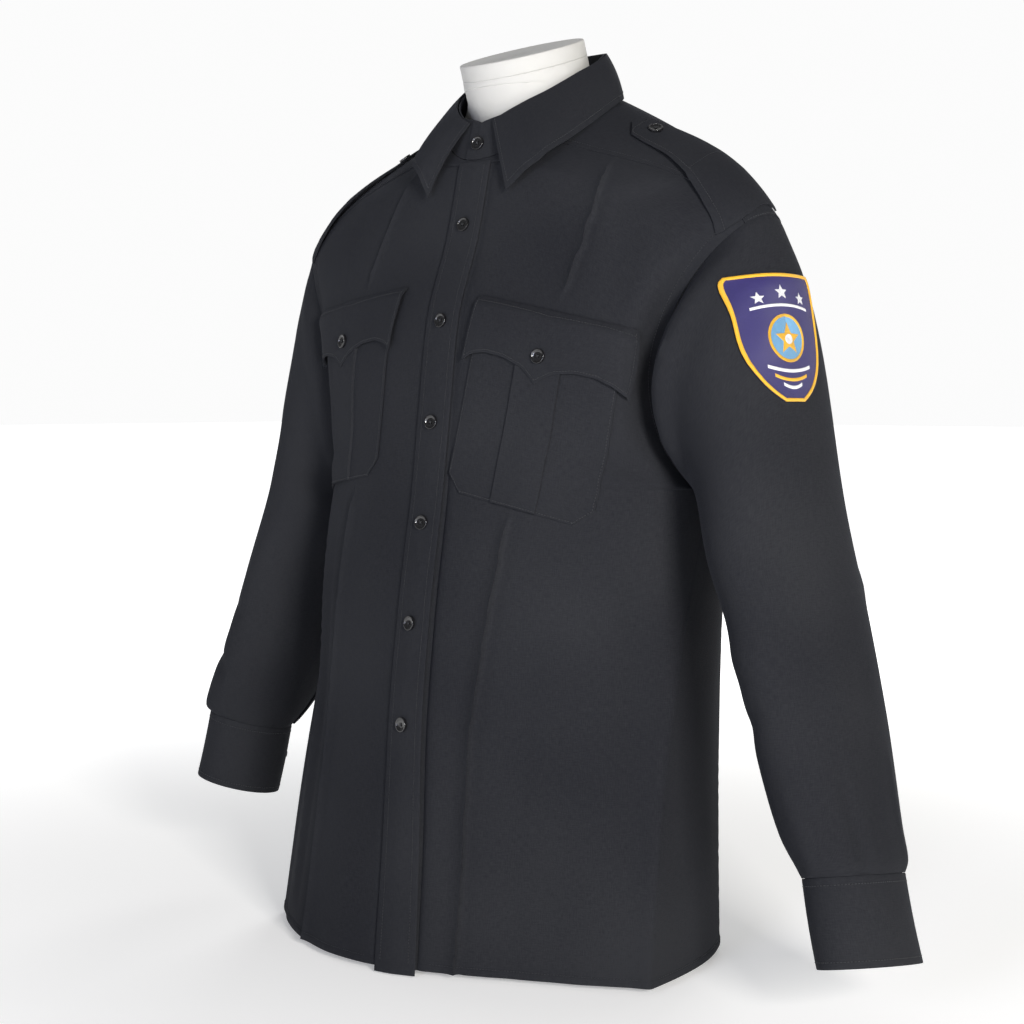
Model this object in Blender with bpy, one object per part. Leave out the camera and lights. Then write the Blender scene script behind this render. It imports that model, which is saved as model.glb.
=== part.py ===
"""Long-sleeved police uniform shirt standing on a limbless dress form.

Metres, +Z up.  The form stands on its own flat base at Z = 0, the wearer
faces -Y and the wearer's left side is +X.
"""
import math
from collections import defaultdict, namedtuple

import bmesh
import bpy
import numpy as np
from mathutils import Vector
from mathutils.bvhtree import BVHTree

# Main sizes
HEM_HEIGHT = 0.006
CLOTH = 0.0012
DOUBLE_CLOTH = 0.0016
SEAM_GAP = 0.0003
LAID_ON = 0.0007
BUTTON_WIDTH = 0.013
BUTTON_THICK = 0.0026
PLACKET_WIDTH = 0.038
CUFF_HEIGHT = 0.070
CUFF_START = -104.0
CUFF_OVERLAP = 22.0
LAP_LIFT = 0.0024

# Rows across the body, counted up the front, over the shoulder, down the back
ROW_UNDERARM = 4.0
ROW_NECK_FRONT = 8.0
ROW_YOKE_FRONT = 9.0
ROW_RIDGE = 10.0
ROW_NECK_BACK = 12.0
ROW_YOKE_BACK = 13.0
ROW_UNDERARM_BACK = 16.0
ROW_LAST = 20.0
ACROSS = 12

# Centre front and centre back, from the hem up to the neck
CentreRow = namedtuple("CentreRow", "step z front back")
CENTRE = (
    CentreRow(0.0, HEM_HEIGHT, -0.150, 0.156),
    CentreRow(1.0, 0.105, -0.143, 0.152),
    CentreRow(2.0, 0.210, -0.138, 0.149),
    CentreRow(3.0, 0.315, -0.126, 0.145),
    CentreRow(4.0, 0.425, -0.108, 0.142),
    CentreRow(5.0, 0.500, -0.098, 0.141),
    CentreRow(6.0, 0.575, -0.087, 0.139),
    CentreRow(7.0, 0.652, -0.060, 0.130),
    CentreRow(8.0, 0.722, -0.043, 0.105),
)
BACK_RISE = 0.068

# Side seams, from the hem up to the underarm
SideRow = namedtuple("SideRow", "step z left_x left_y right_x right_y")
SIDE_SEAM = (
    SideRow(0.0, HEM_HEIGHT, 0.203, -0.050, 0.221, -0.079),
    SideRow(1.4, 0.148, 0.205, -0.036, 0.217, -0.055),
    SideRow(2.8, 0.289, 0.209, -0.012, 0.212, -0.022),
    SideRow(4.0, 0.425, 0.215, 0.030, 0.215, 0.030),
)

# How each row leaves the middle line and reaches the side line
Sweep = namedtuple("Sweep", "row in_left in_right in_rise in_length out_left out_right out_rise out_length")
SWEEPS = (
    Sweep(0.0, 22.0, -15.0, 0.00, 0.40, 27.0, 42.0, 0.00, 0.33),
    Sweep(1.0, 17.0, -6.0, 0.00, 0.38, 34.0, 44.0, 0.00, 0.33),
    Sweep(2.0, 12.0, 4.0, 0.00, 0.38, 48.0, 50.0, 0.00, 0.32),
    Sweep(4.0, 7.0, 7.0, 0.00, 0.55, 84.0, 84.0, 0.00, 0.36),
    Sweep(5.0, 4.0, 4.0, 0.00, 0.42, 64.0, 64.0, 0.00, 0.32),
    Sweep(6.0, 2.0, 2.0, -0.02, 0.38, 44.0, 44.0, -0.12, 0.33),
    Sweep(8.0, 0.0, 0.0, -0.14, 0.33, 12.0, 12.0, -0.75, 0.33),
    Sweep(9.0, 0.0, 0.0, -0.42, 0.33, 5.0, 5.0, -1.20, 0.33),
    Sweep(10.0, 0.0, 0.0, -0.58, 0.33, 0.0, 0.0, -1.40, 0.33),
    Sweep(11.0, 0.0, 0.0, -0.44, 0.33, -6.0, -6.0, -1.20, 0.33),
    Sweep(12.0, 0.0, 0.0, -0.12, 0.36, -16.0, -16.0, -0.70, 0.33),
    Sweep(14.0, 0.0, 0.0, -0.02, 0.42, -44.0, -44.0, -0.20, 0.34),
    Sweep(16.0, 0.0, 0.0, 0.00, 0.58, -86.0, -86.0, 0.00, 0.40),
    Sweep(18.0, 0.0, 0.0, 0.00, 0.56, -88.0, -88.0, 0.00, 0.46),
    Sweep(20.0, 0.0, 0.0, 0.00, 0.58, -90.0, -90.0, 0.00, 0.48),
)

# Neckline, an oval that climbs towards the back
NECK_MIDDLE_Y = 0.031
NECK_HALF_X = 0.075
NECK_HALF_Y = 0.074
NECK_MIDDLE_Z = 0.756
NECK_TILT_Z = 0.034
NECK_SADDLE_Z = 0.024

# Sleeve rings, from the armhole down to the top of the cuff
Ring = namedtuple("Ring", "step out_x out_z in_x in_z y front saddle rise")
ARMHOLE = Ring(0.0, 0.272, 0.660, 0.215, 0.425, 0.030, 0.075, -0.0385, 0.0)
LEFT_SLEEVE = (
    ARMHOLE,
    Ring(0.10, 0.2950, 0.600, 0.2250, 0.408, 0.028, 0.083, -0.012, 0.000),
    Ring(0.25, 0.3100, 0.510, 0.2320, 0.385, 0.024, 0.084, 0.000, 0.000),
    Ring(0.38, 0.3260, 0.430, 0.2440, 0.355, 0.018, 0.085, 0.000, 0.002),
    Ring(0.55, 0.3530, 0.335, 0.2650, 0.320, 0.010, 0.084, 0.000, 0.004),
    Ring(0.72, 0.3790, 0.250, 0.2920, 0.235, 0.001, 0.079, 0.000, 0.006),
    Ring(0.88, 0.4030, 0.165, 0.3240, 0.150, -0.010, 0.068, 0.000, 0.008),
    Ring(0.96, 0.4120, 0.139, 0.3400, 0.125, -0.014, 0.060, 0.000, 0.009),
    Ring(1.00, 0.4120, 0.133, 0.3440, 0.118, -0.016, 0.0550, 0.000, 0.009),
)
LEFT_CUFF_END = Ring(1.2, 0.4300, 0.066, 0.3600, 0.050, -0.020, 0.0560, 0.000, 0.010)
RIGHT_SLEEVE = (
    ARMHOLE,
    Ring(0.10, 0.2850, 0.602, 0.2200, 0.408, 0.033, 0.074, -0.014, 0.000),
    Ring(0.25, 0.2900, 0.515, 0.2200, 0.390, 0.031, 0.077, 0.000, 0.000),
    Ring(0.38, 0.2990, 0.440, 0.2250, 0.365, 0.027, 0.080, 0.000, 0.002),
    Ring(0.55, 0.3240, 0.345, 0.2420, 0.330, 0.018, 0.080, 0.000, 0.004),
    Ring(0.72, 0.3510, 0.262, 0.2700, 0.247, 0.009, 0.076, 0.000, 0.006),
    Ring(0.88, 0.3750, 0.202, 0.3000, 0.187, -0.004, 0.065, 0.000, 0.008),
    Ring(0.96, 0.3810, 0.181, 0.3090, 0.167, -0.012, 0.055, 0.000, 0.009),
    Ring(1.00, 0.3770, 0.175, 0.3110, 0.161, -0.015, 0.0470, 0.000, 0.009),
)
RIGHT_CUFF_END = Ring(1.2, 0.3910, 0.107, 0.3250, 0.092, -0.021, 0.0470, 0.000, 0.010)
SLEEVE_ROWS = 16

# Collar half, from the centre front round to the centre back
CollarRow = namedtuple("CollarRow", "turn fold_x fold_y fold_z edge_x edge_y edge_z")
COLLAR = (
    CollarRow(0.0, 0.013, -0.0350, 0.758, 0.0480, -0.0570, 0.690),
    CollarRow(18.0, 0.026, -0.0310, 0.765, 0.0660, -0.0570, 0.7035),
    CollarRow(36.0, 0.040, -0.0220, 0.774, 0.0850, -0.0510, 0.7175),
    CollarRow(60.0, 0.055, -0.0050, 0.786, 0.0960, -0.0220, 0.737),
    CollarRow(85.0, 0.064, 0.0180, 0.801, 0.1010, 0.0120, 0.758),
    CollarRow(110.0, 0.066, 0.0450, 0.815, 0.0980, 0.0460, 0.776),
    CollarRow(145.0, 0.050, 0.0840, 0.832, 0.0660, 0.0860, 0.789),
    CollarRow(180.0, 0.000, 0.1080, 0.838, 0.0000, 0.1260, 0.792),
)

STAND_LAP = 10.0
COLLAR_BUTTON_Z = 0.7375
STAND_APART = 0.0012
STAND_GAP = 0.0006

# Chest pockets, measured from the flap button
PocketPlace = namedtuple("PocketPlace", "side x z droop lean")
POCKETS = (PocketPlace(1, 0.110, 0.539, 11.0, 10.0), PocketPlace(-1, 0.138, 0.557, 5.0, -2.5))
POCKET_HALF = 0.0715
POCKET_TOP = -0.030
POCKET_BOTTOM = 0.133
POCKET_CUT = 0.015
PLEAT_HALF = 0.022
PLEAT_STEP = 0.0012
PLEAT_RISE = 0.0018
FLAP_HALF = 0.078
FLAP_TOP = -0.041
FLAP_RISE = 0.0036
FlapEdge = namedtuple("FlapEdge", "share depth")
FLAP_EDGE = (
    FlapEdge(0.00, 0.0240),
    FlapEdge(0.06, 0.0200),
    FlapEdge(0.20, 0.0125),
    FlapEdge(0.45, 0.0075),
    FlapEdge(0.70, 0.0070),
    FlapEdge(0.88, 0.0110),
    FlapEdge(1.00, 0.0185),
)

# Shoulder straps, from the point near the collar to the armhole seam
StrapRow = namedtuple("StrapRow", "x y half rise")
STRAP = (
    StrapRow(0.1290, 0.0270, 0.0040, 0.0012),
    StrapRow(0.1400, 0.0260, 0.0185, 0.0010),
    StrapRow(0.1550, 0.0250, 0.0200, 0.0008),
    StrapRow(0.1850, 0.0230, 0.0220, 0.0026),
    StrapRow(0.2100, 0.0205, 0.0250, 0.0034),
    StrapRow(0.2300, 0.0185, 0.0270, 0.0030),
    StrapRow(0.2500, 0.0165, 0.0285, 0.0014),
    StrapRow(0.2655, 0.0160, 0.0290, 0.0001),
)

STRAP_ROWS = 15

# Sleeve patch and sleeve plackets
PATCH_MIDDLE = (0.297, 0.002, 0.553)
PATCH_FACING = (0.95, -0.18, 0.20)
PatchRow = namedtuple("PatchRow", "depth width")
PATCH_OUTLINE = (
    PatchRow(-1.00, 0.90),
    PatchRow(-0.90, 1.00),
    PatchRow(0.05, 1.00),
    PatchRow(0.40, 0.93),
    PatchRow(0.70, 0.72),
    PatchRow(0.88, 0.48),
    PatchRow(1.00, 0.22),
)
PATCH_HALF_WIDTH = 0.044
PATCH_HALF_HEIGHT = 0.054
SLIT_TURN = -112.0
SLIT_WIDTH = 0.026
SLIT_LENGTH = 0.155

# Buttons down the centre front
BUTTON_HEIGHTS = (0.661, 0.573, 0.482, 0.393, 0.305, 0.217)

# Dress form sections
FormRow = namedtuple("FormRow", "z half_x half_y y")
FORM = (
    FormRow(0.000, 0.146, 0.098, 0.006),
    FormRow(0.008, 0.150, 0.102, 0.006),
    FormRow(0.090, 0.154, 0.105, 0.006),
    FormRow(0.190, 0.158, 0.108, 0.008),
    FormRow(0.290, 0.163, 0.108, 0.012),
    FormRow(0.390, 0.176, 0.110, 0.016),
    FormRow(0.470, 0.188, 0.109, 0.020),
    FormRow(0.540, 0.192, 0.102, 0.026),
    FormRow(0.600, 0.193, 0.092, 0.032),
    FormRow(0.650, 0.192, 0.077, 0.036),
    FormRow(0.686, 0.188, 0.062, 0.036),
    FormRow(0.708, 0.177, 0.051, 0.034),
    FormRow(0.726, 0.152, 0.043, 0.033),
    FormRow(0.741, 0.124, 0.038, 0.032),
    FormRow(0.752, 0.097, 0.036, 0.032),
    FormRow(0.762, 0.077, 0.039, 0.032),
    FormRow(0.772, 0.065, 0.047, 0.0315),
    FormRow(0.788, 0.0608, 0.056, 0.031),
)
FORM_AROUND = 28
FORM_GAP = 0.0008
NeckRow = namedtuple("NeckRow", "z y tilt")
NECK_RINGS = (
    NeckRow(0.801, 0.0290, 12.0),
    NeckRow(0.8160, 0.0258, 19.0),
)
NECK_RADIUS = 0.060
CAP_HEIGHT = 0.015


def curve_value(knots, values, x):
    """Smooth curve through a short table column, with no overshoot."""
    knots = np.asarray(knots, float)
    values = np.asarray(values, float)
    if values.ndim == 1:
        values = values[:, None]
    step = np.diff(knots)[:, None]
    slope = np.diff(values, axis=0) / step
    tangent = np.zeros_like(values)
    tangent[0] = slope[0]
    tangent[-1] = slope[-1]
    both = slope[:-1] * slope[1:]
    mean = 2.0 * both / np.where(np.abs(slope[:-1] + slope[1:]) < 1e-12, 1.0, slope[:-1] + slope[1:])
    tangent[1:-1] = np.where(both > 0.0, mean, 0.0)
    at = int(np.clip(np.searchsorted(knots, x, side="right") - 1, 0, len(knots) - 2))
    h = knots[at + 1] - knots[at]
    t = (x - knots[at]) / h
    return (
        (2 * t**3 - 3 * t**2 + 1) * values[at]
        + (t**3 - 2 * t**2 + t) * h * tangent[at]
        + (-2 * t**3 + 3 * t**2) * values[at + 1]
        + (t**3 - t**2) * h * tangent[at + 1]
    )


def column_values(rows, x):
    """All columns of a table after its first one, read at x."""
    table = np.array(rows, float)
    return curve_value(table[:, 0], table[:, 1:], x)


def unit(vector):
    return vector / max(float(np.linalg.norm(vector)), 1e-12)


def heading(turn, rise):
    """Unit direction turned from +X towards +Y, climbing by rise."""
    return unit(np.array((math.cos(math.radians(turn)), math.sin(math.radians(turn)), rise)))


def ring_point(ring, turn):
    """Point on a sleeve ring; turn 0 is the outer side, 90 the front."""
    out_x, out_z, in_x, in_z, y, front, saddle, rise = ring
    c = math.cos(math.radians(turn))
    s = math.sin(math.radians(turn))
    x = (out_x + in_x) / 2 + c * (out_x - in_x) / 2 + s * s * saddle
    z = (out_z + in_z) / 2 + c * (out_z - in_z) / 2 + s * rise
    return np.array((x, y - s * front, z))


def armhole_turn(row):
    """Position round the armhole of a body row above the underarm."""
    rows = (ROW_UNDERARM, ROW_NECK_FRONT, ROW_RIDGE, ROW_NECK_BACK, ROW_UNDERARM_BACK)
    return float(np.interp(row, rows, (180.0, 45.0, 0.0, -45.0, -180.0)))


def neckline(turn):
    """Neck seam; turn 0 is the centre front, 180 the centre back."""
    c = math.cos(math.radians(turn))
    s = math.sin(math.radians(turn))
    z = NECK_MIDDLE_Z - NECK_TILT_Z * c + NECK_SADDLE_Z * s * s
    return np.array((NECK_HALF_X * s, NECK_MIDDLE_Y - NECK_HALF_Y * c, z))


def middle_line(row):
    """Centre front, neckline and centre back as one line."""
    if ROW_NECK_FRONT <= row <= ROW_NECK_BACK:
        return neckline(180.0 * (row - ROW_NECK_FRONT) / (ROW_NECK_BACK - ROW_NECK_FRONT))
    behind = row > ROW_NECK_BACK
    step = ROW_LAST - row if behind else row
    z, front, back = column_values(CENTRE, step)
    if not behind:
        return np.array((0.0, front, z))
    rise = BACK_RISE * max(0.0, (step - 4.0) / 4.0) ** 1.5
    return np.array((0.0, back, z + rise))


def side_line(side, row):
    """Side seam and armhole as one line, measured as if on the left."""
    if ROW_UNDERARM <= row <= ROW_UNDERARM_BACK:
        return ring_point(ARMHOLE[1:], armhole_turn(row))
    step = min(row, ROW_LAST - row)
    z, left_x, left_y, right_x, right_y = column_values(SIDE_SEAM, step)
    return np.array((left_x, left_y, z)) if side > 0 else np.array((right_x, right_y, z))


def body_point(side, across, row):
    """Outer face of the shirt body; across 0 is the middle, 1 the side."""
    start = middle_line(row)
    end = side_line(side, row)
    in_left, in_right, in_rise, in_length, out_left, out_right, out_rise, out_length = column_values(SWEEPS, row)
    chord = float(np.linalg.norm(end - start))
    leave = heading(in_left if side > 0 else in_right, in_rise)
    reach = heading(out_left if side > 0 else out_right, out_rise)
    first = start + leave * chord * in_length
    second = end - reach * chord * out_length
    t = across
    point = (1 - t) ** 3 * start + 3 * (1 - t) ** 2 * t * first + 3 * (1 - t) * t * t * second + t**3 * end
    return np.array((side * point[0], point[1], point[2]))


def sleeve_point(side, turn, step):
    """Outer face of a sleeve; step 0 is the armhole, 1 the cuff."""
    rings = LEFT_SLEEVE if side > 0 else RIGHT_SLEEVE
    point = ring_point(column_values(rings, step), turn)
    return np.array((side * point[0], point[1], point[2]))


def grid_quads(grid, side=1):
    """Quads of a grid of points, turned over for the mirrored side."""
    quads = []
    for low, high in zip(grid[:-1], grid[1:]):
        for k in range(len(low) - 1):
            quad = (low[k], low[k + 1], high[k + 1], high[k])
            quads.append(quad if side > 0 else quad[::-1])
    return quads


def key_of(point):
    return tuple(int(round(float(value) * 2e5)) for value in point)


def add_normals(normals, quads):
    for a, b, c, d in quads:
        normal = np.cross(c - a, d - b)
        for point in (a, b, c, d):
            normals[key_of(point)] = normals[key_of(point)] + normal


def new_normals(*groups):
    normals = defaultdict(lambda: np.zeros(3))
    for quads in groups:
        add_normals(normals, quads)
    return normals


def edge_insets(faces, places):
    """Move for each vertex on an open edge, half a seam gap into the piece."""
    count = defaultdict(int)
    for face in faces:
        for a, b in zip(face, face[1:] + face[:1]):
            count[frozenset((a, b))] += 1
    inward = defaultdict(list)
    open_edges = []
    for face in faces:
        middle = sum(places[vertex] for vertex in face) / len(face)
        for a, b in zip(face, face[1:] + face[:1]):
            if count[frozenset((a, b))] == 1:
                open_edges.append((a, b))
                along = unit(places[b] - places[a])
                reach = middle - places[a]
                side = unit(reach - along * float(np.dot(reach, along)))
                inward[a].append(side)
                inward[b].append(side)
    moves = {}
    for vertex, sides in inward.items():
        total = sum(sides)
        square = max(float(np.dot(total, total)), 0.8)
        moves[vertex] = total * len(sides) / square * SEAM_GAP * 0.6
    return moves, open_edges


def cloth_piece(name, quads, material, thickness=CLOTH, normals=None, lift=None, raised=None):
    """Closed sheet of cloth; its outer face lies on the quads, or above them by lift."""
    normals = normals or new_normals(quads)
    index = {}
    places = []
    directions = []
    extra = []
    faces = []
    for quad in quads:
        face = []
        for point in quad:
            key = key_of(point)
            if key not in index:
                index[key] = len(places)
                places.append(np.array(point, float))
                directions.append(unit(normals[key]))
                extra.append(raised.get(key, 0.0) if raised else 0.0)
            if index[key] not in face:
                face.append(index[key])
        if len(face) > 2:
            faces.append(face)
    moves, open_edges = edge_insets(faces, places)
    outer = []
    inner = []
    for vertex, (place, direction) in enumerate(zip(places, directions)):
        place = place + moves.get(vertex, 0.0)
        top = 0.0 if lift is None else lift + thickness + extra[vertex]
        bottom = -thickness if lift is None else lift
        outer.append(place + direction * top)
        inner.append(place + direction * bottom)
    total = len(outer)
    skin = [tuple(face) for face in faces]
    lining = [tuple(total + vertex for vertex in reversed(face)) for face in faces]
    rim = [(b, a, total + a, total + b) for a, b in open_edges]
    return mesh_object(name, outer + inner, skin + lining + rim, material)


def mesh_object(name, vertices, faces, material, smooth=True):
    mesh = bpy.data.meshes.new(name)
    mesh.from_pydata([tuple(map(float, vertex)) for vertex in vertices], [], faces)
    mesh.validate()
    mesh.materials.append(material)
    if smooth:
        mesh.shade_smooth()
        mesh.set_sharp_from_angle(angle=math.radians(40))
    item = bpy.data.objects.new(name, mesh)
    bpy.context.scene.collection.objects.link(item)
    return item


def make_material(name, colour, roughness):
    material = bpy.data.materials.new(name)
    material.use_nodes = True
    shader = material.node_tree.nodes["Principled BSDF"]
    shader.inputs["Base Color"].default_value = (*colour, 1.0)
    shader.inputs["Roughness"].default_value = roughness
    material.diffuse_color = (*colour, 1.0)
    return material


def body_grid(side, first, last):
    """Grid of body points between two rows, half a row apart."""
    rows = np.arange(first, last + 0.01, 0.5)
    return [[body_point(side, k / ACROSS, row) for k in range(ACROSS + 1)] for row in rows]


def armhole_turns():
    rows = np.arange(ROW_UNDERARM, ROW_UNDERARM_BACK + 0.01, 0.5)
    return [armhole_turn(row) for row in rows]


def sleeve_grid(side):
    turns = armhole_turns()
    steps = [k / SLEEVE_ROWS for k in range(SLEEVE_ROWS + 1)]
    return [[sleeve_point(side, turn, step) for turn in turns] for step in steps]


def share_armhole(bodies, sleeves):
    """One shared slope where body and sleeve run on over the seam."""
    for key in set(bodies) & set(sleeves):
        body = unit(bodies[key])
        sleeve = unit(sleeves[key])
        if float(np.dot(body, sleeve)) > 0.5:
            bodies[key] = sleeves[key] = body + sleeve


def build_body(cloth_material):
    """Fronts, yoke, back and sleeves, sharing the slope of the cloth at their seams."""
    parts = {}
    for side, word in ((1, "left"), (-1, "right")):
        parts["front_" + word] = grid_quads(body_grid(side, 0.0, ROW_YOKE_FRONT), side)
        parts["sleeve_" + word] = grid_quads(sleeve_grid(side), -side)
    for name, first, last in (("yoke", ROW_YOKE_FRONT, ROW_YOKE_BACK), ("back", ROW_YOKE_BACK, ROW_LAST)):
        parts[name] = grid_quads(body_grid(1, first, last)) + grid_quads(body_grid(-1, first, last), -1)
    bodies = new_normals(*(quads for name, quads in parts.items() if "sleeve" not in name))
    sleeves = new_normals(parts["sleeve_left"], parts["sleeve_right"])
    share_armhole(bodies, sleeves)
    for name, quads in parts.items():
        cloth_piece(name, quads, cloth_material, normals=sleeves if "sleeve" in name else bodies)
    return parts


def build_cuff(side, word, material):
    """Cuff band whose end laps over its start."""
    rings = LEFT_SLEEVE if side > 0 else RIGHT_SLEEVE
    bottom = np.array((LEFT_CUFF_END if side > 0 else RIGHT_CUFF_END)[1:])
    top = np.array(rings[-1][1:])
    turns = np.linspace(CUFF_START, CUFF_START + 360.0 + CUFF_OVERLAP, 27)
    grid = []
    for share in (0.004, 0.35, 0.7, 1.0):
        ring = top + (bottom - top) * share
        line = []
        for turn in turns:
            point = ring_point(ring, turn)
            middle = ring_point(ring, 0.0) / 2 + ring_point(ring, 180.0) / 2
            beyond = (turn - CUFF_START - 360.0 + 50.0) / 50.0
            lap = LAP_LIFT * min(1.0, max(0.0, beyond))
            point = point + unit(point - middle) * lap
            line.append(np.array((side * point[0], point[1], point[2])))
        grid.append(line)
    quads = grid_quads(grid, side)
    cloth_piece("cuff_" + word, quads, material, thickness=DOUBLE_CLOTH)
    return quads


def collar_row(turn):
    """Neck seam, fold and edge points of the collar on the left half."""
    values = column_values(COLLAR, turn)
    return neckline(turn), values[:3], values[3:]


def cut_neckline(turn):
    """Neck seam as the straight steps of the cut edge beneath it."""
    step = 180.0 * 0.5 / (ROW_NECK_BACK - ROW_NECK_FRONT)
    low = math.floor(turn / step) * step
    share = (turn - low) / step
    return neckline(low) * (1.0 - share) + neckline(min(low + step, 180.0)) * share


def stand_line(side, turn):
    """One upright line of the collar stand; the left end laps over the right."""
    _, fold, _ = collar_row(abs(turn))
    base = cut_neckline(abs(turn))
    flip = -1.0 if turn < 0 else 1.0
    lap = max(0.0, 1.0 - (turn + STAND_LAP) / 30.0)
    apart = np.array((0.0, -side * STAND_APART * lap, STAND_GAP))
    top = fold + np.array((0.0, 0.0, -0.0015))
    top[0] = fold[0] * min(1.0, abs(turn) / 18.0)
    line = []
    for share in (0.0, 0.35, 0.7, 1.0):
        point = base + (top - base) * share
        line.append(np.array((side * flip * point[0], point[1], point[2])) + apart)
    return line


def build_collar(material):
    turns = list(np.linspace(0.0, 180.0, 13))
    stand = []
    stand_turns = [-STAND_LAP] + turns
    for side, order in ((-1, stand_turns), (1, stand_turns[-2::-1])):
        for turn in order:
            stand.append(stand_line(side, turn))
    quads = grid_quads(stand, 1)
    cloth_piece("collar_stand", quads, material, thickness=DOUBLE_CLOTH)
    button_on("button_collar", quads, np.array((0.0, -0.06, COLLAR_BUTTON_Z)), (0.0, -1.0, 0.0), 0.0)
    leaf = []
    for side, order in ((-1, turns), (1, turns[-2::-1])):
        for turn in order:
            base, fold, edge = collar_row(turn)
            outward = unit(np.array((edge[0] - base[0] * 0.6, edge[1] - NECK_MIDDLE_Y, 0.0)))
            start = fold + outward * 0.0022
            bulge = (start + edge) / 2 + outward * 0.006 + np.array((0.0, 0.0, 0.004))
            line = []
            for share in (0.0, 0.2, 0.4, 0.6, 0.8, 1.0):
                point = (1 - share) ** 2 * start + 2 * share * (1 - share) * bulge + share**2 * edge
                line.append(np.array((side * point[0], point[1], point[2])))
            leaf.append(line)
    cloth_piece("collar_leaf", grid_quads(leaf, -1), material, thickness=DOUBLE_CLOTH)


def seat_weight(z):
    """Share of the seating move at a height: the shoulders move, waist and neck stay."""
    up = min(1.0, max(0.0, (z - 0.60) / 0.09))
    down = min(1.0, max(0.0, (0.800 - z) / 0.030))
    return up * up * (3 - 2 * up) * down * down * (3 - 2 * down)


def rings_surface(rings):
    quads = []
    for low, high in zip(rings[:-1], rings[1:]):
        for k in range(len(low)):
            n = (k + 1) % len(low)
            quads.append((low[k], low[n], high[n], high[k]))
    return surface_of(quads)


def seat_form(rings, quads):
    """Raise the form's shoulders until they carry the yoke."""
    yoke = surface_of(quads)
    down = Vector((0.0, 0.0, -1.0))
    for _ in range(5):
        form = rings_surface(rings)
        spots = [Vector(point) for ring in rings for point in ring if 0.64 < point[2] < 0.785]
        for quad in quads:
            middle = sum(quad) / 4
            spots += [Vector(point) for point in (*quad, middle)]
        room = 1.0
        for spot in spots:
            above, normal, _, _ = yoke.ray_cast(Vector((spot.x, spot.y, 1.0)), down)
            under, _, _, _ = form.ray_cast(Vector((spot.x, spot.y, 0.786)), down)
            if above is not None and under is not None:
                room = min(room, above.z - under.z - (CLOTH + FORM_GAP) / max(0.4, abs(normal.z)))
        rings = [[(x, y, z + room * seat_weight(z)) for x, y, z in ring] for ring in rings]
    return rings


def build_form(material, yoke_quads):
    """Smooth torso with a round neck, closed by a separate cap."""
    rings = []
    for row in FORM:
        ring = []
        for k in range(FORM_AROUND):
            angle = 2 * math.pi * k / FORM_AROUND
            ring.append((row.half_x * math.cos(angle), row.y + row.half_y * math.sin(angle), row.z))
        rings.append(ring)
    for row in NECK_RINGS:
        rings.append(neck_ring(row.z, row.y, row.tilt))
    ring_solid("form_torso", seat_form(rings, yoke_quads), material)
    low = NECK_RINGS[-1]
    rise = math.radians(low.tilt)
    cap = []
    for height, shrink in ((0.0003, 0.0), (CAP_HEIGHT - 0.002, 0.0), (CAP_HEIGHT - 0.0006, 0.0008), (CAP_HEIGHT, 0.0025)):
        y = low.y - height * math.sin(rise)
        z = low.z + height * math.cos(rise)
        cap.append(neck_ring(z, y, low.tilt, shrink))
    ring_solid("form_neck_cap", cap, material)


def neck_ring(z, y, tilt, shrink=0.0):
    radius = NECK_RADIUS - shrink
    tilt = math.radians(tilt)
    ring = []
    for k in range(FORM_AROUND):
        angle = 2 * math.pi * k / FORM_AROUND
        across = radius * math.sin(angle)
        ring.append((radius * math.cos(angle), y + across * math.cos(tilt), z + across * math.sin(tilt)))
    return ring


def ring_solid(name, rings, material):
    around = len(rings[0])
    vertices = [point for ring in rings for point in ring]
    faces = []
    for level in range(len(rings) - 1):
        for k in range(around):
            a = level * around + k
            b = level * around + (k + 1) % around
            faces.append((a, b, b + around, a + around))
    faces.append(tuple(reversed(range(around))))
    faces.append(tuple(range((len(rings) - 1) * around, len(rings) * around)))
    return mesh_object(name, vertices, faces, material)


def surface_of(*groups):
    """Search tree over the outer faces of cloth already laid out."""
    points = []
    faces = []
    for quads in groups:
        for quad in quads:
            faces.append(tuple(range(len(points), len(points) + 4)))
            points.extend(Vector(corner) for corner in quad)
    return BVHTree.FromPolygons(points, faces)


def settle(surface, point, away):
    """Point of the cloth straight under a point held off it."""
    away = Vector(away)
    start = Vector(point) + away * 0.06
    place, normal, _, _ = surface.ray_cast(start, -away)
    if place is None:
        place, normal, _, _ = surface.find_nearest(Vector(point))
    return np.array(place), np.array(normal)


def clear_grid(surface, grid, away):
    """Lift grid corners until no quad dips into the cloth beneath it."""
    away = np.array(away, float)
    lifts = np.zeros((len(grid), len(grid[0])))
    for r in range(len(grid) - 1):
        for c in range(len(grid[0]) - 1):
            need = 0.0
            for s in (0.0, 0.25, 0.5, 0.75, 1.0):
                for t in (0.0, 0.25, 0.5, 0.75, 1.0):
                    low = grid[r][c] * (1 - t) + grid[r][c + 1] * t
                    high = grid[r + 1][c] * (1 - t) + grid[r + 1][c + 1] * t
                    point = low * (1 - s) + high * s
                    place, _ = settle(surface, point, away)
                    need = max(need, float(np.dot(place - point, away)))
            for a, b in ((r, c), (r, c + 1), (r + 1, c), (r + 1, c + 1)):
                lifts[a, b] = max(lifts[a, b], min(need, 0.003))
    return [[point + away * lifts[r, c] for c, point in enumerate(line)] for r, line in enumerate(grid)]


def face_out(quads, away):
    """The same quads, turned over if they face against away."""
    total = sum(float(np.dot(np.cross(c - a, d - b), away)) for a, b, c, d in quads)
    return quads if total > 0 else [quad[::-1] for quad in quads]


def laid_grid(surface, middle, away, across, down, columns, rows):
    """Grid settled on the cloth; columns(b) gives the widths at each depth b."""
    grid = []
    for b in rows:
        line = []
        for a in columns(b):
            place, _ = settle(surface, middle + across * a + down * b, away)
            line.append(place)
        grid.append(line)
    return clear_grid(surface, grid, away)


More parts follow.
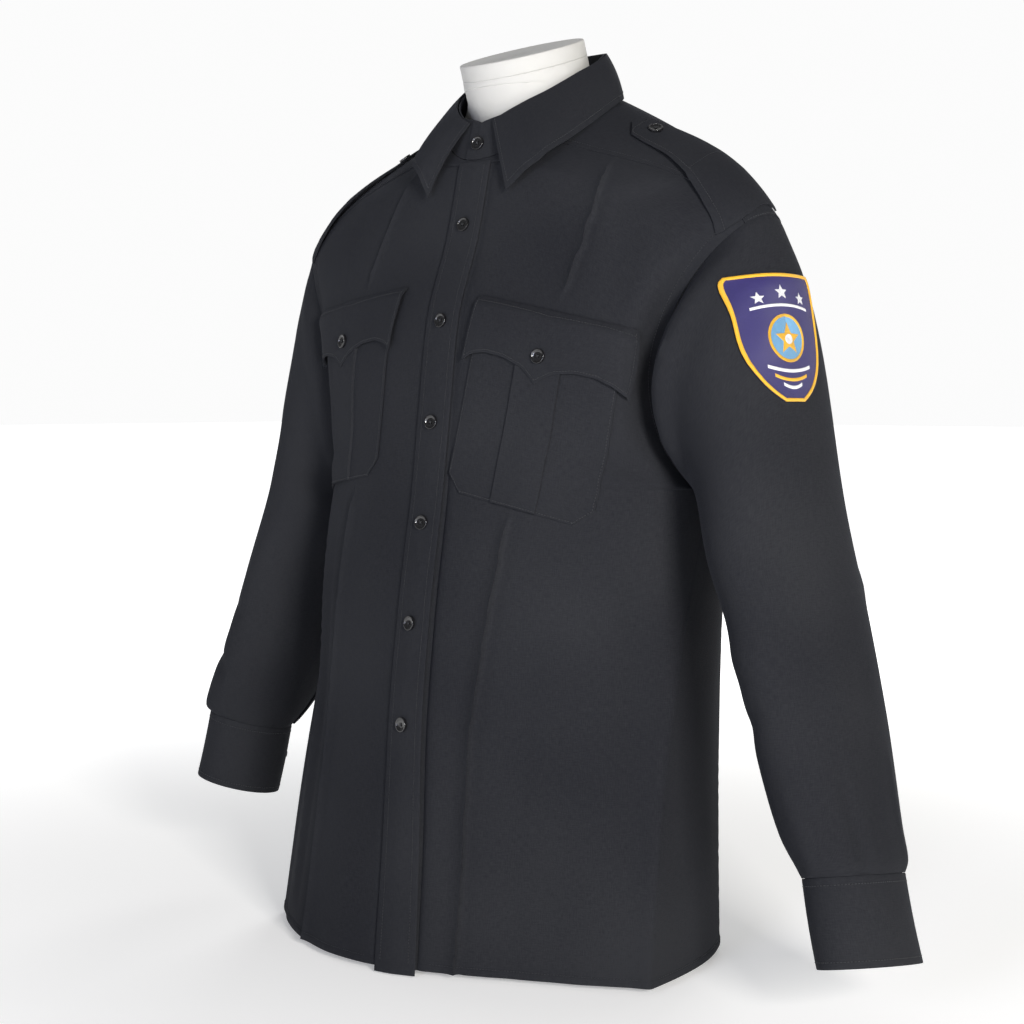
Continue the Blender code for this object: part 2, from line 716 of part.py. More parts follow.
def pocket_frame(surface, place):
    middle, away = settle(surface, np.array((place.side * place.x, -0.08, place.z)), (0.0, -1.0, 0.0))
    away = unit(away if away[1] < 0 else -away)
    droop = math.radians(place.droop)
    lean = math.radians(place.lean)
    across = np.array((place.side * math.cos(droop), 0.0, -math.sin(droop)))
    down = np.array((-place.side * math.sin(lean), 0.0, -math.cos(lean)))
    across = unit(across - away * float(np.dot(across, away)))
    down = unit(down - away * float(np.dot(down, away)))
    return middle, away, across, down


def spread(outer, inner):
    """Widths across a pocket, closer together at the pleat folds."""
    side = np.linspace(outer, inner + PLEAT_STEP, 4)
    middle = np.linspace(inner, -inner, 4)
    return list(-side) + list(-middle) + list(side[::-1])


def build_pocket(place, surface, material):
    middle, away, across, down = pocket_frame(surface, place)
    word = "left" if place.side > 0 else "right"

    def widths(b):
        cut = max(0.0, b - (POCKET_BOTTOM - POCKET_CUT))
        return spread(POCKET_HALF - cut, PLEAT_HALF)

    rows = list(np.linspace(POCKET_TOP, POCKET_BOTTOM - POCKET_CUT, 9)) + [POCKET_BOTTOM]
    grid = laid_grid(surface, middle, away, across, down, widths, rows)
    raised = {}
    for line in grid:
        for a, point in zip(widths(0.0), line):
            if abs(a) <= PLEAT_HALF + 1e-6:
                raised[key_of(point)] = PLEAT_RISE
    cloth_piece("pocket_" + word, face_out(grid_quads(grid), away), material, lift=LAID_ON, raised=raised)
    build_flap(place, (middle, away, across, down), surface, material, word)


def build_flap(place, frame, surface, material, word):
    middle, away, across, down = frame
    table = np.array(FLAP_EDGE)
    shares = np.linspace(-1.0, 1.0, 17)
    levels = (0.0, 0.12, 0.26, 0.5, 0.75, 1.0)
    grid = []
    for level in levels:
        line = []
        for share in shares:
            end = float(np.interp(abs(share), table[:, 0], table[:, 1]))
            b = FLAP_TOP + (end - FLAP_TOP) * level
            place_on, _ = settle(surface, middle + across * share * FLAP_HALF + down * b, away)
            line.append(place_on)
        grid.append(line)
    grid = clear_grid(surface, grid, away)
    grid = [[point + away * FLAP_RISE * min(1.0, level / 0.12) for point in line] for level, line in zip(levels, grid)]
    quads = face_out(grid_quads(grid), away)
    cloth_piece("flap_" + word, quads, material, thickness=DOUBLE_CLOTH, lift=LAID_ON)
    button_on("button_flap_" + word, quads, middle, away, LAID_ON + DOUBLE_CLOTH)


def build_placket(surface, material):
    """Buttonhole band over the centre front, a little longer than the fronts."""
    halves = np.linspace(-PLACKET_WIDTH / 2, PLACKET_WIDTH / 2, 5)
    rows = np.arange(0.0, ROW_NECK_FRONT + 0.01, 0.5)
    grid = []
    for row in rows:
        z = middle_line(row)[2] - (0.0025 if row == rows[-1] else 0.0)
        line = []
        for x in halves:
            place, _ = settle(surface, np.array((x, -0.1, z + (0.0004 if row == 0.0 else 0.0))), (0.0, -1.0, 0.0))
            line.append(place)
        grid.append(line)
    grid = clear_grid(surface, grid, (0.0, -1.0, 0.0))
    below = [point + np.array((0.0, -0.0004, -0.0044)) for point in grid[0]]
    quads = face_out(grid_quads([below] + grid), np.array((0.0, -1.0, 0.0)))
    cloth_piece("placket_band", quads, material, thickness=DOUBLE_CLOTH, lift=LAID_ON)
    for number, z in enumerate(BUTTON_HEIGHTS, 1):
        button_on("button_front_%d" % number, quads, np.array((0.0, -0.1, z)), (0.0, -1.0, 0.0), LAID_ON + DOUBLE_CLOTH)


def strap_value(step):
    """Place, half width and rise of the strap, step 0 at its point."""
    table = np.array(STRAP)
    x = table[0, 0] + (table[-1, 0] - table[0, 0]) * step
    return np.array([float(np.interp(x, table[:, 0], table[:, k])) for k in range(4)])


def build_strap(side, surface, material):
    word = "left" if side > 0 else "right"
    grid = []
    rises = []
    for step in np.linspace(0.0, 1.0, STRAP_ROWS):
        x, y, half, rise = strap_value(step)
        line = []
        for share in np.linspace(-1.0, 1.0, 7):
            place, _ = settle(surface, np.array((side * x, y + share * half, 0.74)), (0.0, 0.0, 1.0))
            line.append(place)
        grid.append(line)
        rises.append(rise)
    away = unit(np.array((0.45 * side, 0.0, 0.9)))
    grid = clear_grid(surface, grid, away)
    grid = [[point + away * rise for point in line] for rise, line in zip(rises, grid)]
    quads = face_out(grid_quads(grid), np.array((0.0, 0.0, 1.0)))
    cloth_piece("strap_" + word, quads, material, thickness=DOUBLE_CLOTH, lift=LAID_ON)
    row = STRAP[2]
    point = np.array((side * row.x, row.y, 0.745))
    button_on("button_strap_" + word, quads, point, (side * 0.3, 0.0, 1.0), LAID_ON + DOUBLE_CLOTH)


def build_patch(surface, material):
    """Round-bottomed patch on the outer side of the left sleeve."""
    away = unit(np.array(PATCH_FACING))
    across = unit(np.cross(np.array((0.0, 0.0, 1.0)), away))
    down = unit(np.cross(across, away))
    down = down if down[2] < 0 else -down
    middle, _ = settle(surface, np.array(PATCH_MIDDLE), away)
    table = np.array(PATCH_OUTLINE)
    depths = np.linspace(-1.0, 1.0, 13)
    grid = []
    for depth in depths:
        half = PATCH_HALF_WIDTH * float(np.interp(depth, table[:, 0], table[:, 1]))
        line = []
        for share in np.linspace(-1.0, 1.0, 9):
            place, _ = settle(surface, middle + across * share * half + down * depth * PATCH_HALF_HEIGHT, away)
            line.append(place)
        grid.append(line)
    quads = face_out(grid_quads(clear_grid(surface, grid, away)), away)
    cloth_piece("sleeve_patch", quads, material, thickness=DOUBLE_CLOTH, lift=LAID_ON)


def build_slit(side, surface, material):
    """Sleeve placket, a narrow strip above the cuff on the back of the sleeve."""
    word = "left" if side > 0 else "right"
    low = sleeve_point(side, SLIT_TURN, 0.985)
    ring_middle = (sleeve_point(side, 0.0, 0.985) + sleeve_point(side, 180.0, 0.985)) / 2
    away = unit((low - ring_middle) * np.array((1.0, 1.0, 0.0)))
    top = sleeve_point(side, SLIT_TURN, 0.62)
    up = unit(top - low)
    across = unit(np.cross(up, away))
    grid = []
    for b in np.linspace(0.004, SLIT_LENGTH, 8):
        line = []
        for a in np.linspace(-SLIT_WIDTH / 2, SLIT_WIDTH / 2, 4):
            place, _ = settle(surface, low + across * a + up * b, away)
            line.append(place)
        grid.append(line)
    quads = face_out(grid_quads(clear_grid(surface, grid, away)), away)
    cloth_piece("sleeve_placket_" + word, quads, material, lift=LAID_ON)
    button_on("button_sleeve_placket_" + word, quads, low + up * SLIT_LENGTH * 0.5, away, LAID_ON + CLOTH)


def build_cuff_button(side, quads):
    word = "left" if side > 0 else "right"
    rings = LEFT_SLEEVE if side > 0 else RIGHT_SLEEVE
    end = LEFT_CUFF_END if side > 0 else RIGHT_CUFF_END
    ring = np.array(rings[-1][1:]) * 0.5 + np.array(end[1:]) * 0.5
    point = ring_point(ring, CUFF_START + 10.0)
    middle = ring_point(ring, 0.0) / 2 + ring_point(ring, 180.0) / 2
    mirror = np.array((side, 1.0, 1.0))
    button_on("button_cuff_" + word, quads, point * mirror, unit(point - middle) * mirror, 0.0)


def button_on(name, quads, point, away, stack):
    """Button seated on a laid piece, clear of its curve; stack is the cloth above the quads."""
    surface = surface_of(quads)
    place, normal = settle(surface, point, unit(np.array(away, float)))
    out = unit(normal if float(np.dot(normal, away)) > 0 else -normal)
    first = unit(np.cross(out, np.array((0.3, 0.2, 1.0))))
    second = np.cross(out, first)
    need = 0.0
    for k in range(12):
        angle = 2 * math.pi * k / 12
        rim = place + (first * math.cos(angle) + second * math.sin(angle)) * BUTTON_WIDTH / 2
        under, _ = settle(surface, rim, out)
        need = max(need, float(np.dot(under - rim, out)))
    build_button(name, place + out * (min(need, 0.003) + stack + SEAM_GAP), out)


def build_button(name, place, away):
    """Round button with a raised rim, lying face out along away."""
    radius = BUTTON_WIDTH / 2
    profile = (
        (radius * 0.86, 0.0),
        (radius, BUTTON_THICK * 0.4),
        (radius * 0.90, BUTTON_THICK),
        (radius * 0.58, BUTTON_THICK * 0.62),
    )
    away = unit(np.array(away, float))
    first = unit(np.cross(away, np.array((0.3, 0.2, 1.0))))
    second = np.cross(away, first)
    rings = []
    for width, height in profile:
        ring = []
        for k in range(12):
            angle = 2 * math.pi * k / 12
            ring.append(place + away * height + first * width * math.cos(angle) + second * width * math.sin(angle))
        rings.append(ring)
    return ring_solid(name, rings, bpy.data.materials["black_button"])


def main():
    for item in list(bpy.data.objects):
        bpy.data.objects.remove(item, do_unlink=True)
    cloth = make_material("navy_black_cloth", (0.012, 0.013, 0.018), 0.85)
    thread = make_material("patch_embroidery", (0.05, 0.04, 0.16), 0.7)
    form = make_material("off_white_form", (0.80, 0.78, 0.73), 0.55)
    make_material("black_button", (0.008, 0.008, 0.009), 0.15)
    parts = build_body(cloth)
    fronts = surface_of(parts["front_left"], parts["front_right"])
    shoulders = surface_of(*(quads for name, quads in parts.items() if name != "back"))
    build_placket(fronts, cloth)
    for place in POCKETS:
        build_pocket(place, fronts, cloth)
    for side, word in ((1, "left"), (-1, "right")):
        sleeve = surface_of(parts["sleeve_" + word])
        cuff = build_cuff(side, word, cloth)
        build_cuff_button(side, cuff)
        build_slit(side, sleeve, cloth)
        build_strap(side, shoulders, cloth)
    build_patch(surface_of(parts["sleeve_left"]), thread)
    build_collar(cloth)
    build_form(form, parts["yoke"])


main()
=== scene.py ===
# %% [markdown]
# A dark navy police uniform shirt, buttoned up on an off-white dress form.
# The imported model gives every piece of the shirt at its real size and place.
# This lesson dresses that model: it cuts each piece again from the same few
# curves, only finer, and adds folds, creases, stitching and cloth.
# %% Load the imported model
import math
from collections import namedtuple

import bpy
import numpy as np
from mathutils import Matrix, Vector
from mathutils.bvhtree import BVHTree


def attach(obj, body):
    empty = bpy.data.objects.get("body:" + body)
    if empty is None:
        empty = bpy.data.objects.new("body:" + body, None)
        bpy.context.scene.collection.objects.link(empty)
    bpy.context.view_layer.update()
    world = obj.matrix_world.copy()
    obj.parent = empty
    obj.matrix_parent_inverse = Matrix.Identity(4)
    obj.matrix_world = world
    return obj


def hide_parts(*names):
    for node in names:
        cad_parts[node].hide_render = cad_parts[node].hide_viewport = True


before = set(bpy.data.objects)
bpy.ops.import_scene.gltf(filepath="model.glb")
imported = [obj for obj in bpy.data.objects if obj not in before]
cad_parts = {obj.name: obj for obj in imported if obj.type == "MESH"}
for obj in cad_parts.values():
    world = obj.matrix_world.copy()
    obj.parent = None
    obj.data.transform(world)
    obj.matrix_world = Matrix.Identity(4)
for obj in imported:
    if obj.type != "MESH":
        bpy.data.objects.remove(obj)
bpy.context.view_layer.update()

bpy.ops.object.select_all(action="DESELECT")
print("nodes in the frame:", len(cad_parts))

# %% [markdown]
# A product photograph of clothing is taken level, from chest height, with a
# long lens so that near and far sleeves keep their sizes. The camera could be
# tilted to frame the hem, but then upright seams would lean, so it stays level
# and the frame is shifted down a little instead.
# %% Camera
IMAGE_SIDE = 1024
SENSOR = 36.0
FOCAL_PIXELS = 1818.0
CAMERA_AZIMUTH = math.radians(41.0)
CAMERA_DISTANCE = 1.70
CAMERA_HEIGHT = 0.502
AXIS_LEFT_OF_MIDDLE = 5.0
HORIZON_ABOVE_MIDDLE = 112.0


def add_object(name, data):
    """Put new data into the scene as an object."""
    item = bpy.data.objects.new(name, data)
    bpy.context.scene.collection.objects.link(item)
    return item


camera_data = bpy.data.cameras.new("camera")
camera_data.sensor_width = SENSOR
camera_data.lens = SENSOR * FOCAL_PIXELS / IMAGE_SIDE
camera_data.shift_x = AXIS_LEFT_OF_MIDDLE / IMAGE_SIDE
camera_data.shift_y = -HORIZON_ABOVE_MIDDLE / IMAGE_SIDE
camera = add_object("camera", camera_data)
camera.location = (
    CAMERA_DISTANCE * math.sin(CAMERA_AZIMUTH),
    -CAMERA_DISTANCE * math.cos(CAMERA_AZIMUTH),
    CAMERA_HEIGHT,
)
camera.rotation_euler = (math.radians(90.0), 0.0, CAMERA_AZIMUTH)
bpy.context.scene.camera = camera

# %% [markdown]
# Dark cloth shows its folds only where a broad light slides over them. One
# soft light stands well to the right of the camera, a weaker one beside it
# fills the front, and the paper floor glows far from the shirt so that it
# meets the white backdrop without a line. The surround is dim on the
# camera's side, which leaves the seams and the underarm deep, and a low light
# behind lights the back.
# %% Floor and light
FLOOR_SIZE = 60.0
FLOOR_GLOW = (0.3, 1.9, 0.3, 0.95)
LAMP_TARGET = (0.0, 0.0, 0.42)
KEY_POWER = 69.0
FILL_POWER = 22.0
REAR_POWER = 16.0
SURROUND_STRENGTH = 0.14
BACKDROP_STRENGTH = 0.97
BACKDROP_TURN = (0.35, 0.90)
WHITE = "#ffffff"


def set_inputs(item, inputs):
    """Set a node's inputs, or link them where the value is a socket."""
    for key, value in inputs.items():
        if isinstance(value, bpy.types.NodeSocket):
            item.id_data.links.new(value, item.inputs[key])
        else:
            item.inputs[key].default_value = value


def add_node(tree, kind, inputs=None, **settings):
    """Add a node, set its properties, and set or link its inputs."""
    item = tree.nodes.new(kind)
    for name, value in settings.items():
        setattr(item, name, value)
    set_inputs(item, inputs or {})
    return item


def smooth_range(tree, value, limits):
    """Ease a value from one range, the first two limits, to another."""
    return add_node(tree, "ShaderNodeMapRange", {0: value, **dict(enumerate(limits, 1))},
                    interpolation_type="SMOOTHSTEP").outputs[0]


def object_place(tree):
    return add_node(tree, "ShaderNodeTexCoord").outputs["Object"]


def colour(code):
    """Linear colour from an sRGB hex code."""
    channels = [int(code[k:k + 2], 16) / 255.0 for k in (1, 3, 5)]
    linear = [c / 12.92 if c <= 0.04045 else ((c + 0.055) / 1.055) ** 2.4 for c in channels]
    return (*linear, 1.0)


def new_material(name):
    """Empty node material with a Principled shader wired to its output."""
    item = bpy.data.materials.new(name)
    item.use_nodes = True
    tree = item.node_tree
    tree.nodes.clear()
    shader = add_node(tree, "ShaderNodeBsdfPrincipled")
    add_node(tree, "ShaderNodeOutputMaterial", {"Surface": shader.outputs["BSDF"]})
    return item, tree, shader


def soft_light(name, place, size, power, tint=WHITE):
    data = bpy.data.lights.new(name, "AREA")
    data.shape = "SQUARE"
    data.size = size
    data.energy = power
    data.color = colour(tint)[:3]
    lamp = add_object(name, data)
    lamp.location = place
    aim = Vector(LAMP_TARGET) - Vector(place)
    lamp.rotation_euler = aim.to_track_quat("-Z", "Y").to_euler()


bpy.ops.mesh.primitive_plane_add(size=FLOOR_SIZE, location=(0.0, 0.0, 0.0))
floor = bpy.context.object
floor.name = "floor"
paper, paper_tree, paper_shader = new_material("white_paper_floor")
# Painted light: the floor glows though it is no lamp, at a third strength beside the shirt and almost full strength far
# from it.
paper_reach = add_node(paper_tree, "ShaderNodeVectorMath", {0: object_place(paper_tree)}, operation="LENGTH")
set_inputs(paper_shader, {
    "Base Color": colour("#f7f7f6"),
    "Roughness": 0.9,
    "Emission Color": colour(WHITE),
    "Emission Strength": smooth_range(paper_tree, paper_reach.outputs["Value"], FLOOR_GLOW),
})
floor.data.materials.append(paper)
bpy.ops.object.select_all(action="DESELECT")

soft_light("key", (2.30, -1.35, 0.95), 0.6, KEY_POWER, "#fffcf8")
soft_light("fill", (0.55, -2.65, 0.75), 0.8, FILL_POWER, "#e2e8ff")
soft_light("rear", (-1.2, 2.5, 1.3), 1.2, REAR_POWER)

# The surround is white behind the shirt and dims towards the camera's side.
behind = (-math.sin(CAMERA_AZIMUTH), math.cos(CAMERA_AZIMUTH), 0.0)
surround = bpy.data.worlds.new("white_surround")
surround.use_nodes = True
sky_tree = surround.node_tree
sky_place = add_node(sky_tree, "ShaderNodeTexCoord").outputs["Generated"]
sky_turn = add_node(sky_tree, "ShaderNodeVectorMath", {0: sky_place, 1: behind}, operation="DOT_PRODUCT")
set_inputs(sky_tree.nodes["Background"], {
    "Color": colour(WHITE),
    "Strength": smooth_range(sky_tree, sky_turn.outputs["Value"],
                             (*BACKDROP_TURN, SURROUND_STRENGTH, BACKDROP_STRENGTH)),
})
bpy.context.scene.world = surround
bpy.context.scene.view_settings.view_transform = "Standard"

# %% [markdown]
# The shirt is a plain weave of polyester and wool: thin warp and weft threads
# crossing one over one, dyed so dark a navy that it reads as black until the
# light catches it. The weave could be an image, but sine waves along the
# piece's own UV map, which is in metres, stay sharp at any distance.
# Real threads are 0.35 mm apart and would vanish, so they are drawn at 0.9 mm.
# %% Cloth, thread, buttons and the form's cover
CLOTH_LIGHT = "#292a2d"
CLOTH_DARK = "#1e1f23"
THREAD_PITCH = 0.0009
SLUB_WIDTH = 0.0009
SLUB_LENGTH = 0.006
WEAVE_HEIGHT = 0.00010
SHADE_PATCH = 0.14
WALES_PER_RADIAN = 260.0
KNIT_ROW = 0.0012


def uv_axes(tree):
    """The two directions of a piece's own map, in metres."""
    place = add_node(tree, "ShaderNodeTexCoord")
    split = add_node(tree, "ShaderNodeSeparateXYZ", {0: place.outputs["UV"]})
    return split.outputs[0], split.outputs[1]


def calculate(tree, operation, *values):
    """Result of a Math node."""
    return add_node(tree, "ShaderNodeMath", dict(enumerate(values)), operation=operation).outputs[0]


def linear_range(tree, value, *limits):
    return add_node(tree, "ShaderNodeMapRange", {0: value, **dict(enumerate(limits, 1))}).outputs[0]


def noise(tree, place, scale, detail, distortion=0.0):
    inputs = {"Vector": place, "Scale": scale, "Detail": detail, "Distortion": distortion}
    return add_node(tree, "ShaderNodeTexNoise", inputs).outputs["Fac"]


def two_tones(tree, share, first, second):
    """Blend from one colour to another."""
    ramp = add_node(tree, "ShaderNodeValToRGB", {"Fac": share})
    ramp.color_ramp.elements[0].color = colour(first)
    ramp.color_ramp.elements[1].color = colour(second)
    return ramp.outputs[0]


def bumps(tree, height, distance, strength):
    inputs = {"Height": height, "Distance": distance, "Strength": strength}
    return add_node(tree, "ShaderNodeBump", inputs).outputs[0]


def wave(tree, axis, pitch):
    """Sine wave along one direction, one turn for each pitch."""
    return calculate(tree, "SINE", calculate(tree, "MULTIPLY", axis, 2.0 * math.pi / pitch))


def slubs(tree, along, across):
    """Uneven threads: noise drawn out along one direction."""
    first = calculate(tree, "MULTIPLY", along, 1.0 / SLUB_LENGTH)
    second = calculate(tree, "MULTIPLY", across, 1.0 / SLUB_WIDTH)
    place = add_node(tree, "ShaderNodeCombineXYZ", {0: first, 1: second})
    return noise(tree, place.outputs[0], 1.0, 2.0)


def woven_cloth(name, light, dark):
    """Fine plain weave with a faint bluish sheen at glancing angles."""
    item, tree, shader = new_material(name)
    u, v = uv_axes(tree)
    cross = calculate(tree, "MULTIPLY", wave(tree, u, THREAD_PITCH), wave(tree, v, THREAD_PITCH))
    both = calculate(tree, "ADD", slubs(tree, v, u), slubs(tree, u, v))
    height = calculate(tree, "MULTIPLY_ADD", cross, 0.35, both)
    broad = noise(tree, object_place(tree), 1.0 / SHADE_PATCH, 1.0)
    mixed = calculate(tree, "MULTIPLY_ADD", both, 0.75, broad)
    set_inputs(shader, {
        "Base Color": two_tones(tree, linear_range(tree, mixed, 0.95, 1.55), dark, light),
        "Normal": bumps(tree, height, WEAVE_HEIGHT, 0.8),
        "Roughness": 0.88,
        "Specular IOR Level": 0.08,
        "Sheen Weight": 0.03,
        "Sheen Roughness": 0.45,
        "Sheen Tint": colour("#b9bfd8"),
    })
    return item


def spun_thread(name, shade, pitch, roughness):
    """Twisted thread or satin stitch: fine ribs along the piece's map, with painted shade in their grooves and painted
    highlight on their crests.
    """
    item, tree, shader = new_material(name)
    u, v = uv_axes(tree)
    height = calculate(tree, "MULTIPLY_ADD", wave(tree, u, pitch), 0.6, slubs(tree, u, v))
    # Painted shade and highlight: the colour darkens where the ribs dip and lightens on their crests; the slubs add
    # real uneven tone.
    tone = linear_range(tree, height, -0.4, 1.4, 0.62, 1.12)
    mix = add_node(tree, "ShaderNodeVectorMath", {0: colour(shade)[:3], 1: tone}, operation="MULTIPLY")
    set_inputs(shader, {
        "Base Color": mix.outputs[0],
        "Normal": bumps(tree, height, 0.0002, 0.7),
        "Roughness": roughness,
        "Sheen Weight": 0.08,
    })
    return item


def cast_polyester(name):
    """Button plastic: cast polyester, polished black with faint swirls."""
    item, tree, shader = new_material(name)
    cloud = noise(tree, object_place(tree), 320.0, 3.0, 1.5)
    set_inputs(shader, {
        "Base Color": two_tones(tree, cloud, "#0b0b0c", "#1c1c1e"),
        "Roughness": linear_range(tree, cloud, 0.3, 0.7, 0.08, 0.18),
        "IOR": 1.56,
        "Specular IOR Level": 0.75,
    })
    return item


def jersey_cover(name):
    """Off-white cotton jersey stretched over the form, with fine vertical wales."""
    item, tree, shader = new_material(name)
    place = object_place(tree)
    x, y, z = add_node(tree, "ShaderNodeSeparateXYZ", {0: place}).outputs
    turn = calculate(tree, "ARCTAN2", y, x)
    wales = calculate(tree, "SINE", calculate(tree, "MULTIPLY", turn, WALES_PER_RADIAN))
    knit = calculate(tree, "MULTIPLY", wales, wave(tree, z, KNIT_ROW))
    set_inputs(shader, {
        "Base Color": two_tones(tree, noise(tree, place, 26.0, 3.0), "#b6b5b1", "#c0bfbb"),
        "Normal": bumps(tree, knit, 0.00008, 0.5),
        "Roughness": 0.72,
        "Sheen Weight": 0.1,
    })
    return item


CLOTH_FINISH = woven_cloth("poly_wool_plain_weave", CLOTH_LIGHT, CLOTH_DARK)
SEWING_FINISH = spun_thread("navy_sewing_thread", "#1f2126", 0.0005, 0.7)
BUTTON_FINISH = cast_polyester("polished_cast_polyester")
FORM_FINISH = jersey_cover("cotton_jersey_cover")
GOLD_FINISH = spun_thread("gold_rayon_embroidery", "#e8b021", 0.0007, 0.45)
NAVY_FINISH = spun_thread("violet_navy_rayon_embroidery", "#2c2560", 0.0008, 0.5)
BLUE_FINISH = spun_thread("light_blue_rayon_embroidery", "#6ea6cf", 0.0008, 0.5)
WHITE_FINISH = spun_thread("white_rayon_embroidery", "#e8e8ea", 0.0007, 0.5)
print("materials:", len(bpy.data.materials))

# %% [markdown]
# Every panel of a shirt is cut flat and sewn, so its surface runs smoothly
# from seam to seam. Each panel is described by its seam lines and by the
# direction in which the cloth leaves them, in a few short tables. Modelling
# the shirt by hand would work too, but the curves keep seams meeting exactly.
# %% The shirt's curves
HEM_HEIGHT = 0.006
ROW_UNDERARM = 4.0
ROW_NECK_FRONT = 8.0
ROW_YOKE_FRONT = 9.0
ROW_RIDGE = 10.0
ROW_NECK_BACK = 12.0
ROW_YOKE_BACK = 13.0
ROW_UNDERARM_BACK = 16.0
ROW_LAST = 20.0

CentreRow = namedtuple("CentreRow", "step z front back")
CENTRE = (
    CentreRow(0.0, HEM_HEIGHT, -0.150, 0.156),
    CentreRow(1.0, 0.105, -0.143, 0.152),
    CentreRow(2.0, 0.210, -0.138, 0.149),
    CentreRow(3.0, 0.315, -0.126, 0.145),
    CentreRow(4.0, 0.425, -0.108, 0.142),
    CentreRow(5.0, 0.500, -0.098, 0.141),
    CentreRow(6.0, 0.575, -0.087, 0.139),
    CentreRow(7.0, 0.652, -0.060, 0.130),
    CentreRow(8.0, 0.722, -0.043, 0.105),
)
BACK_RISE = 0.068

SideRow = namedtuple("SideRow", "step z left_x left_y right_x right_y")
SIDE_SEAM = (
    SideRow(0.0, HEM_HEIGHT, 0.203, -0.050, 0.221, -0.079),
    SideRow(1.4, 0.148, 0.205, -0.036, 0.217, -0.055),
    SideRow(2.8, 0.289, 0.209, -0.012, 0.212, -0.022),
    SideRow(4.0, 0.425, 0.215, 0.030, 0.215, 0.030),
)

Sweep = namedtuple("Sweep", "row in_left in_right in_rise in_length out_left out_right out_rise out_length")
SWEEPS = (
    Sweep(0.0, 22.0, -15.0, 0.00, 0.40, 27.0, 42.0, 0.00, 0.33),
    Sweep(1.0, 17.0, -6.0, 0.00, 0.38, 34.0, 44.0, 0.00, 0.33),
    Sweep(2.0, 12.0, 4.0, 0.00, 0.38, 48.0, 50.0, 0.00, 0.32),
    Sweep(4.0, 7.0, 7.0, 0.00, 0.55, 84.0, 84.0, 0.00, 0.36),
    Sweep(5.0, 4.0, 4.0, 0.00, 0.42, 64.0, 64.0, 0.00, 0.32),
    Sweep(6.0, 2.0, 2.0, -0.02, 0.38, 44.0, 44.0, -0.12, 0.33),
    Sweep(8.0, 0.0, 0.0, -0.14, 0.33, 12.0, 12.0, -0.75, 0.33),
    Sweep(9.0, 0.0, 0.0, -0.42, 0.33, 5.0, 5.0, -1.20, 0.33),
    Sweep(10.0, 0.0, 0.0, -0.58, 0.33, 0.0, 0.0, -1.40, 0.33),
    Sweep(11.0, 0.0, 0.0, -0.44, 0.33, -6.0, -6.0, -1.20, 0.33),
    Sweep(12.0, 0.0, 0.0, -0.12, 0.36, -16.0, -16.0, -0.70, 0.33),
    Sweep(14.0, 0.0, 0.0, -0.02, 0.42, -44.0, -44.0, -0.20, 0.34),
    Sweep(16.0, 0.0, 0.0, 0.00, 0.58, -86.0, -86.0, 0.00, 0.40),
    Sweep(18.0, 0.0, 0.0, 0.00, 0.56, -88.0, -88.0, 0.00, 0.46),
    Sweep(20.0, 0.0, 0.0, 0.00, 0.58, -90.0, -90.0, 0.00, 0.48),
)

NECK_MIDDLE_Y = 0.031
NECK_HALF_X = 0.075
NECK_HALF_Y = 0.074
NECK_MIDDLE_Z = 0.756
NECK_TILT_Z = 0.034
NECK_SADDLE_Z = 0.024

Ring = namedtuple("Ring", "step out_x out_z in_x in_z y front saddle rise")
ARMHOLE = Ring(0.0, 0.272, 0.660, 0.215, 0.425, 0.030, 0.075, -0.0385, 0.0)
LEFT_SLEEVE = (
    ARMHOLE,
    Ring(0.10, 0.2950, 0.600, 0.2250, 0.408, 0.028, 0.083, -0.012, 0.000),
    Ring(0.25, 0.3100, 0.510, 0.2320, 0.385, 0.024, 0.084, 0.000, 0.000),
    Ring(0.38, 0.3260, 0.430, 0.2440, 0.355, 0.018, 0.085, 0.000, 0.002),
    Ring(0.55, 0.3530, 0.335, 0.2650, 0.320, 0.010, 0.084, 0.000, 0.004),
    Ring(0.72, 0.3790, 0.250, 0.2920, 0.235, 0.001, 0.079, 0.000, 0.006),
    Ring(0.88, 0.4030, 0.165, 0.3240, 0.150, -0.010, 0.068, 0.000, 0.008),
    Ring(0.96, 0.4120, 0.139, 0.3400, 0.125, -0.014, 0.060, 0.000, 0.009),
    Ring(1.00, 0.4120, 0.133, 0.3440, 0.118, -0.016, 0.0550, 0.000, 0.009),
)
LEFT_CUFF_END = Ring(1.2, 0.4300, 0.066, 0.3600, 0.050, -0.020, 0.0560, 0.000, 0.010)
RIGHT_SLEEVE = (
    ARMHOLE,
    Ring(0.10, 0.2850, 0.602, 0.2200, 0.408, 0.033, 0.074, -0.014, 0.000),
    Ring(0.25, 0.2900, 0.515, 0.2200, 0.390, 0.031, 0.077, 0.000, 0.000),
    Ring(0.38, 0.2990, 0.440, 0.2250, 0.365, 0.027, 0.080, 0.000, 0.002),
    Ring(0.55, 0.3240, 0.345, 0.2420, 0.330, 0.018, 0.080, 0.000, 0.004),
    Ring(0.72, 0.3510, 0.262, 0.2700, 0.247, 0.009, 0.076, 0.000, 0.006),
    Ring(0.88, 0.3750, 0.202, 0.3000, 0.187, -0.004, 0.065, 0.000, 0.008),
    Ring(0.96, 0.3810, 0.181, 0.3090, 0.167, -0.012, 0.055, 0.000, 0.009),
    Ring(1.00, 0.3770, 0.175, 0.3110, 0.161, -0.015, 0.0470, 0.000, 0.009),
)
RIGHT_CUFF_END = Ring(1.2, 0.3910, 0.107, 0.3250, 0.092, -0.021, 0.0470, 0.000, 0.010)
SLEEVES = {1: LEFT_SLEEVE, -1: RIGHT_SLEEVE}
CUFF_ENDS = {1: LEFT_CUFF_END, -1: RIGHT_CUFF_END}
SIDES = ((1, "left"), (-1, "right"))
WORDS = dict(SIDES)


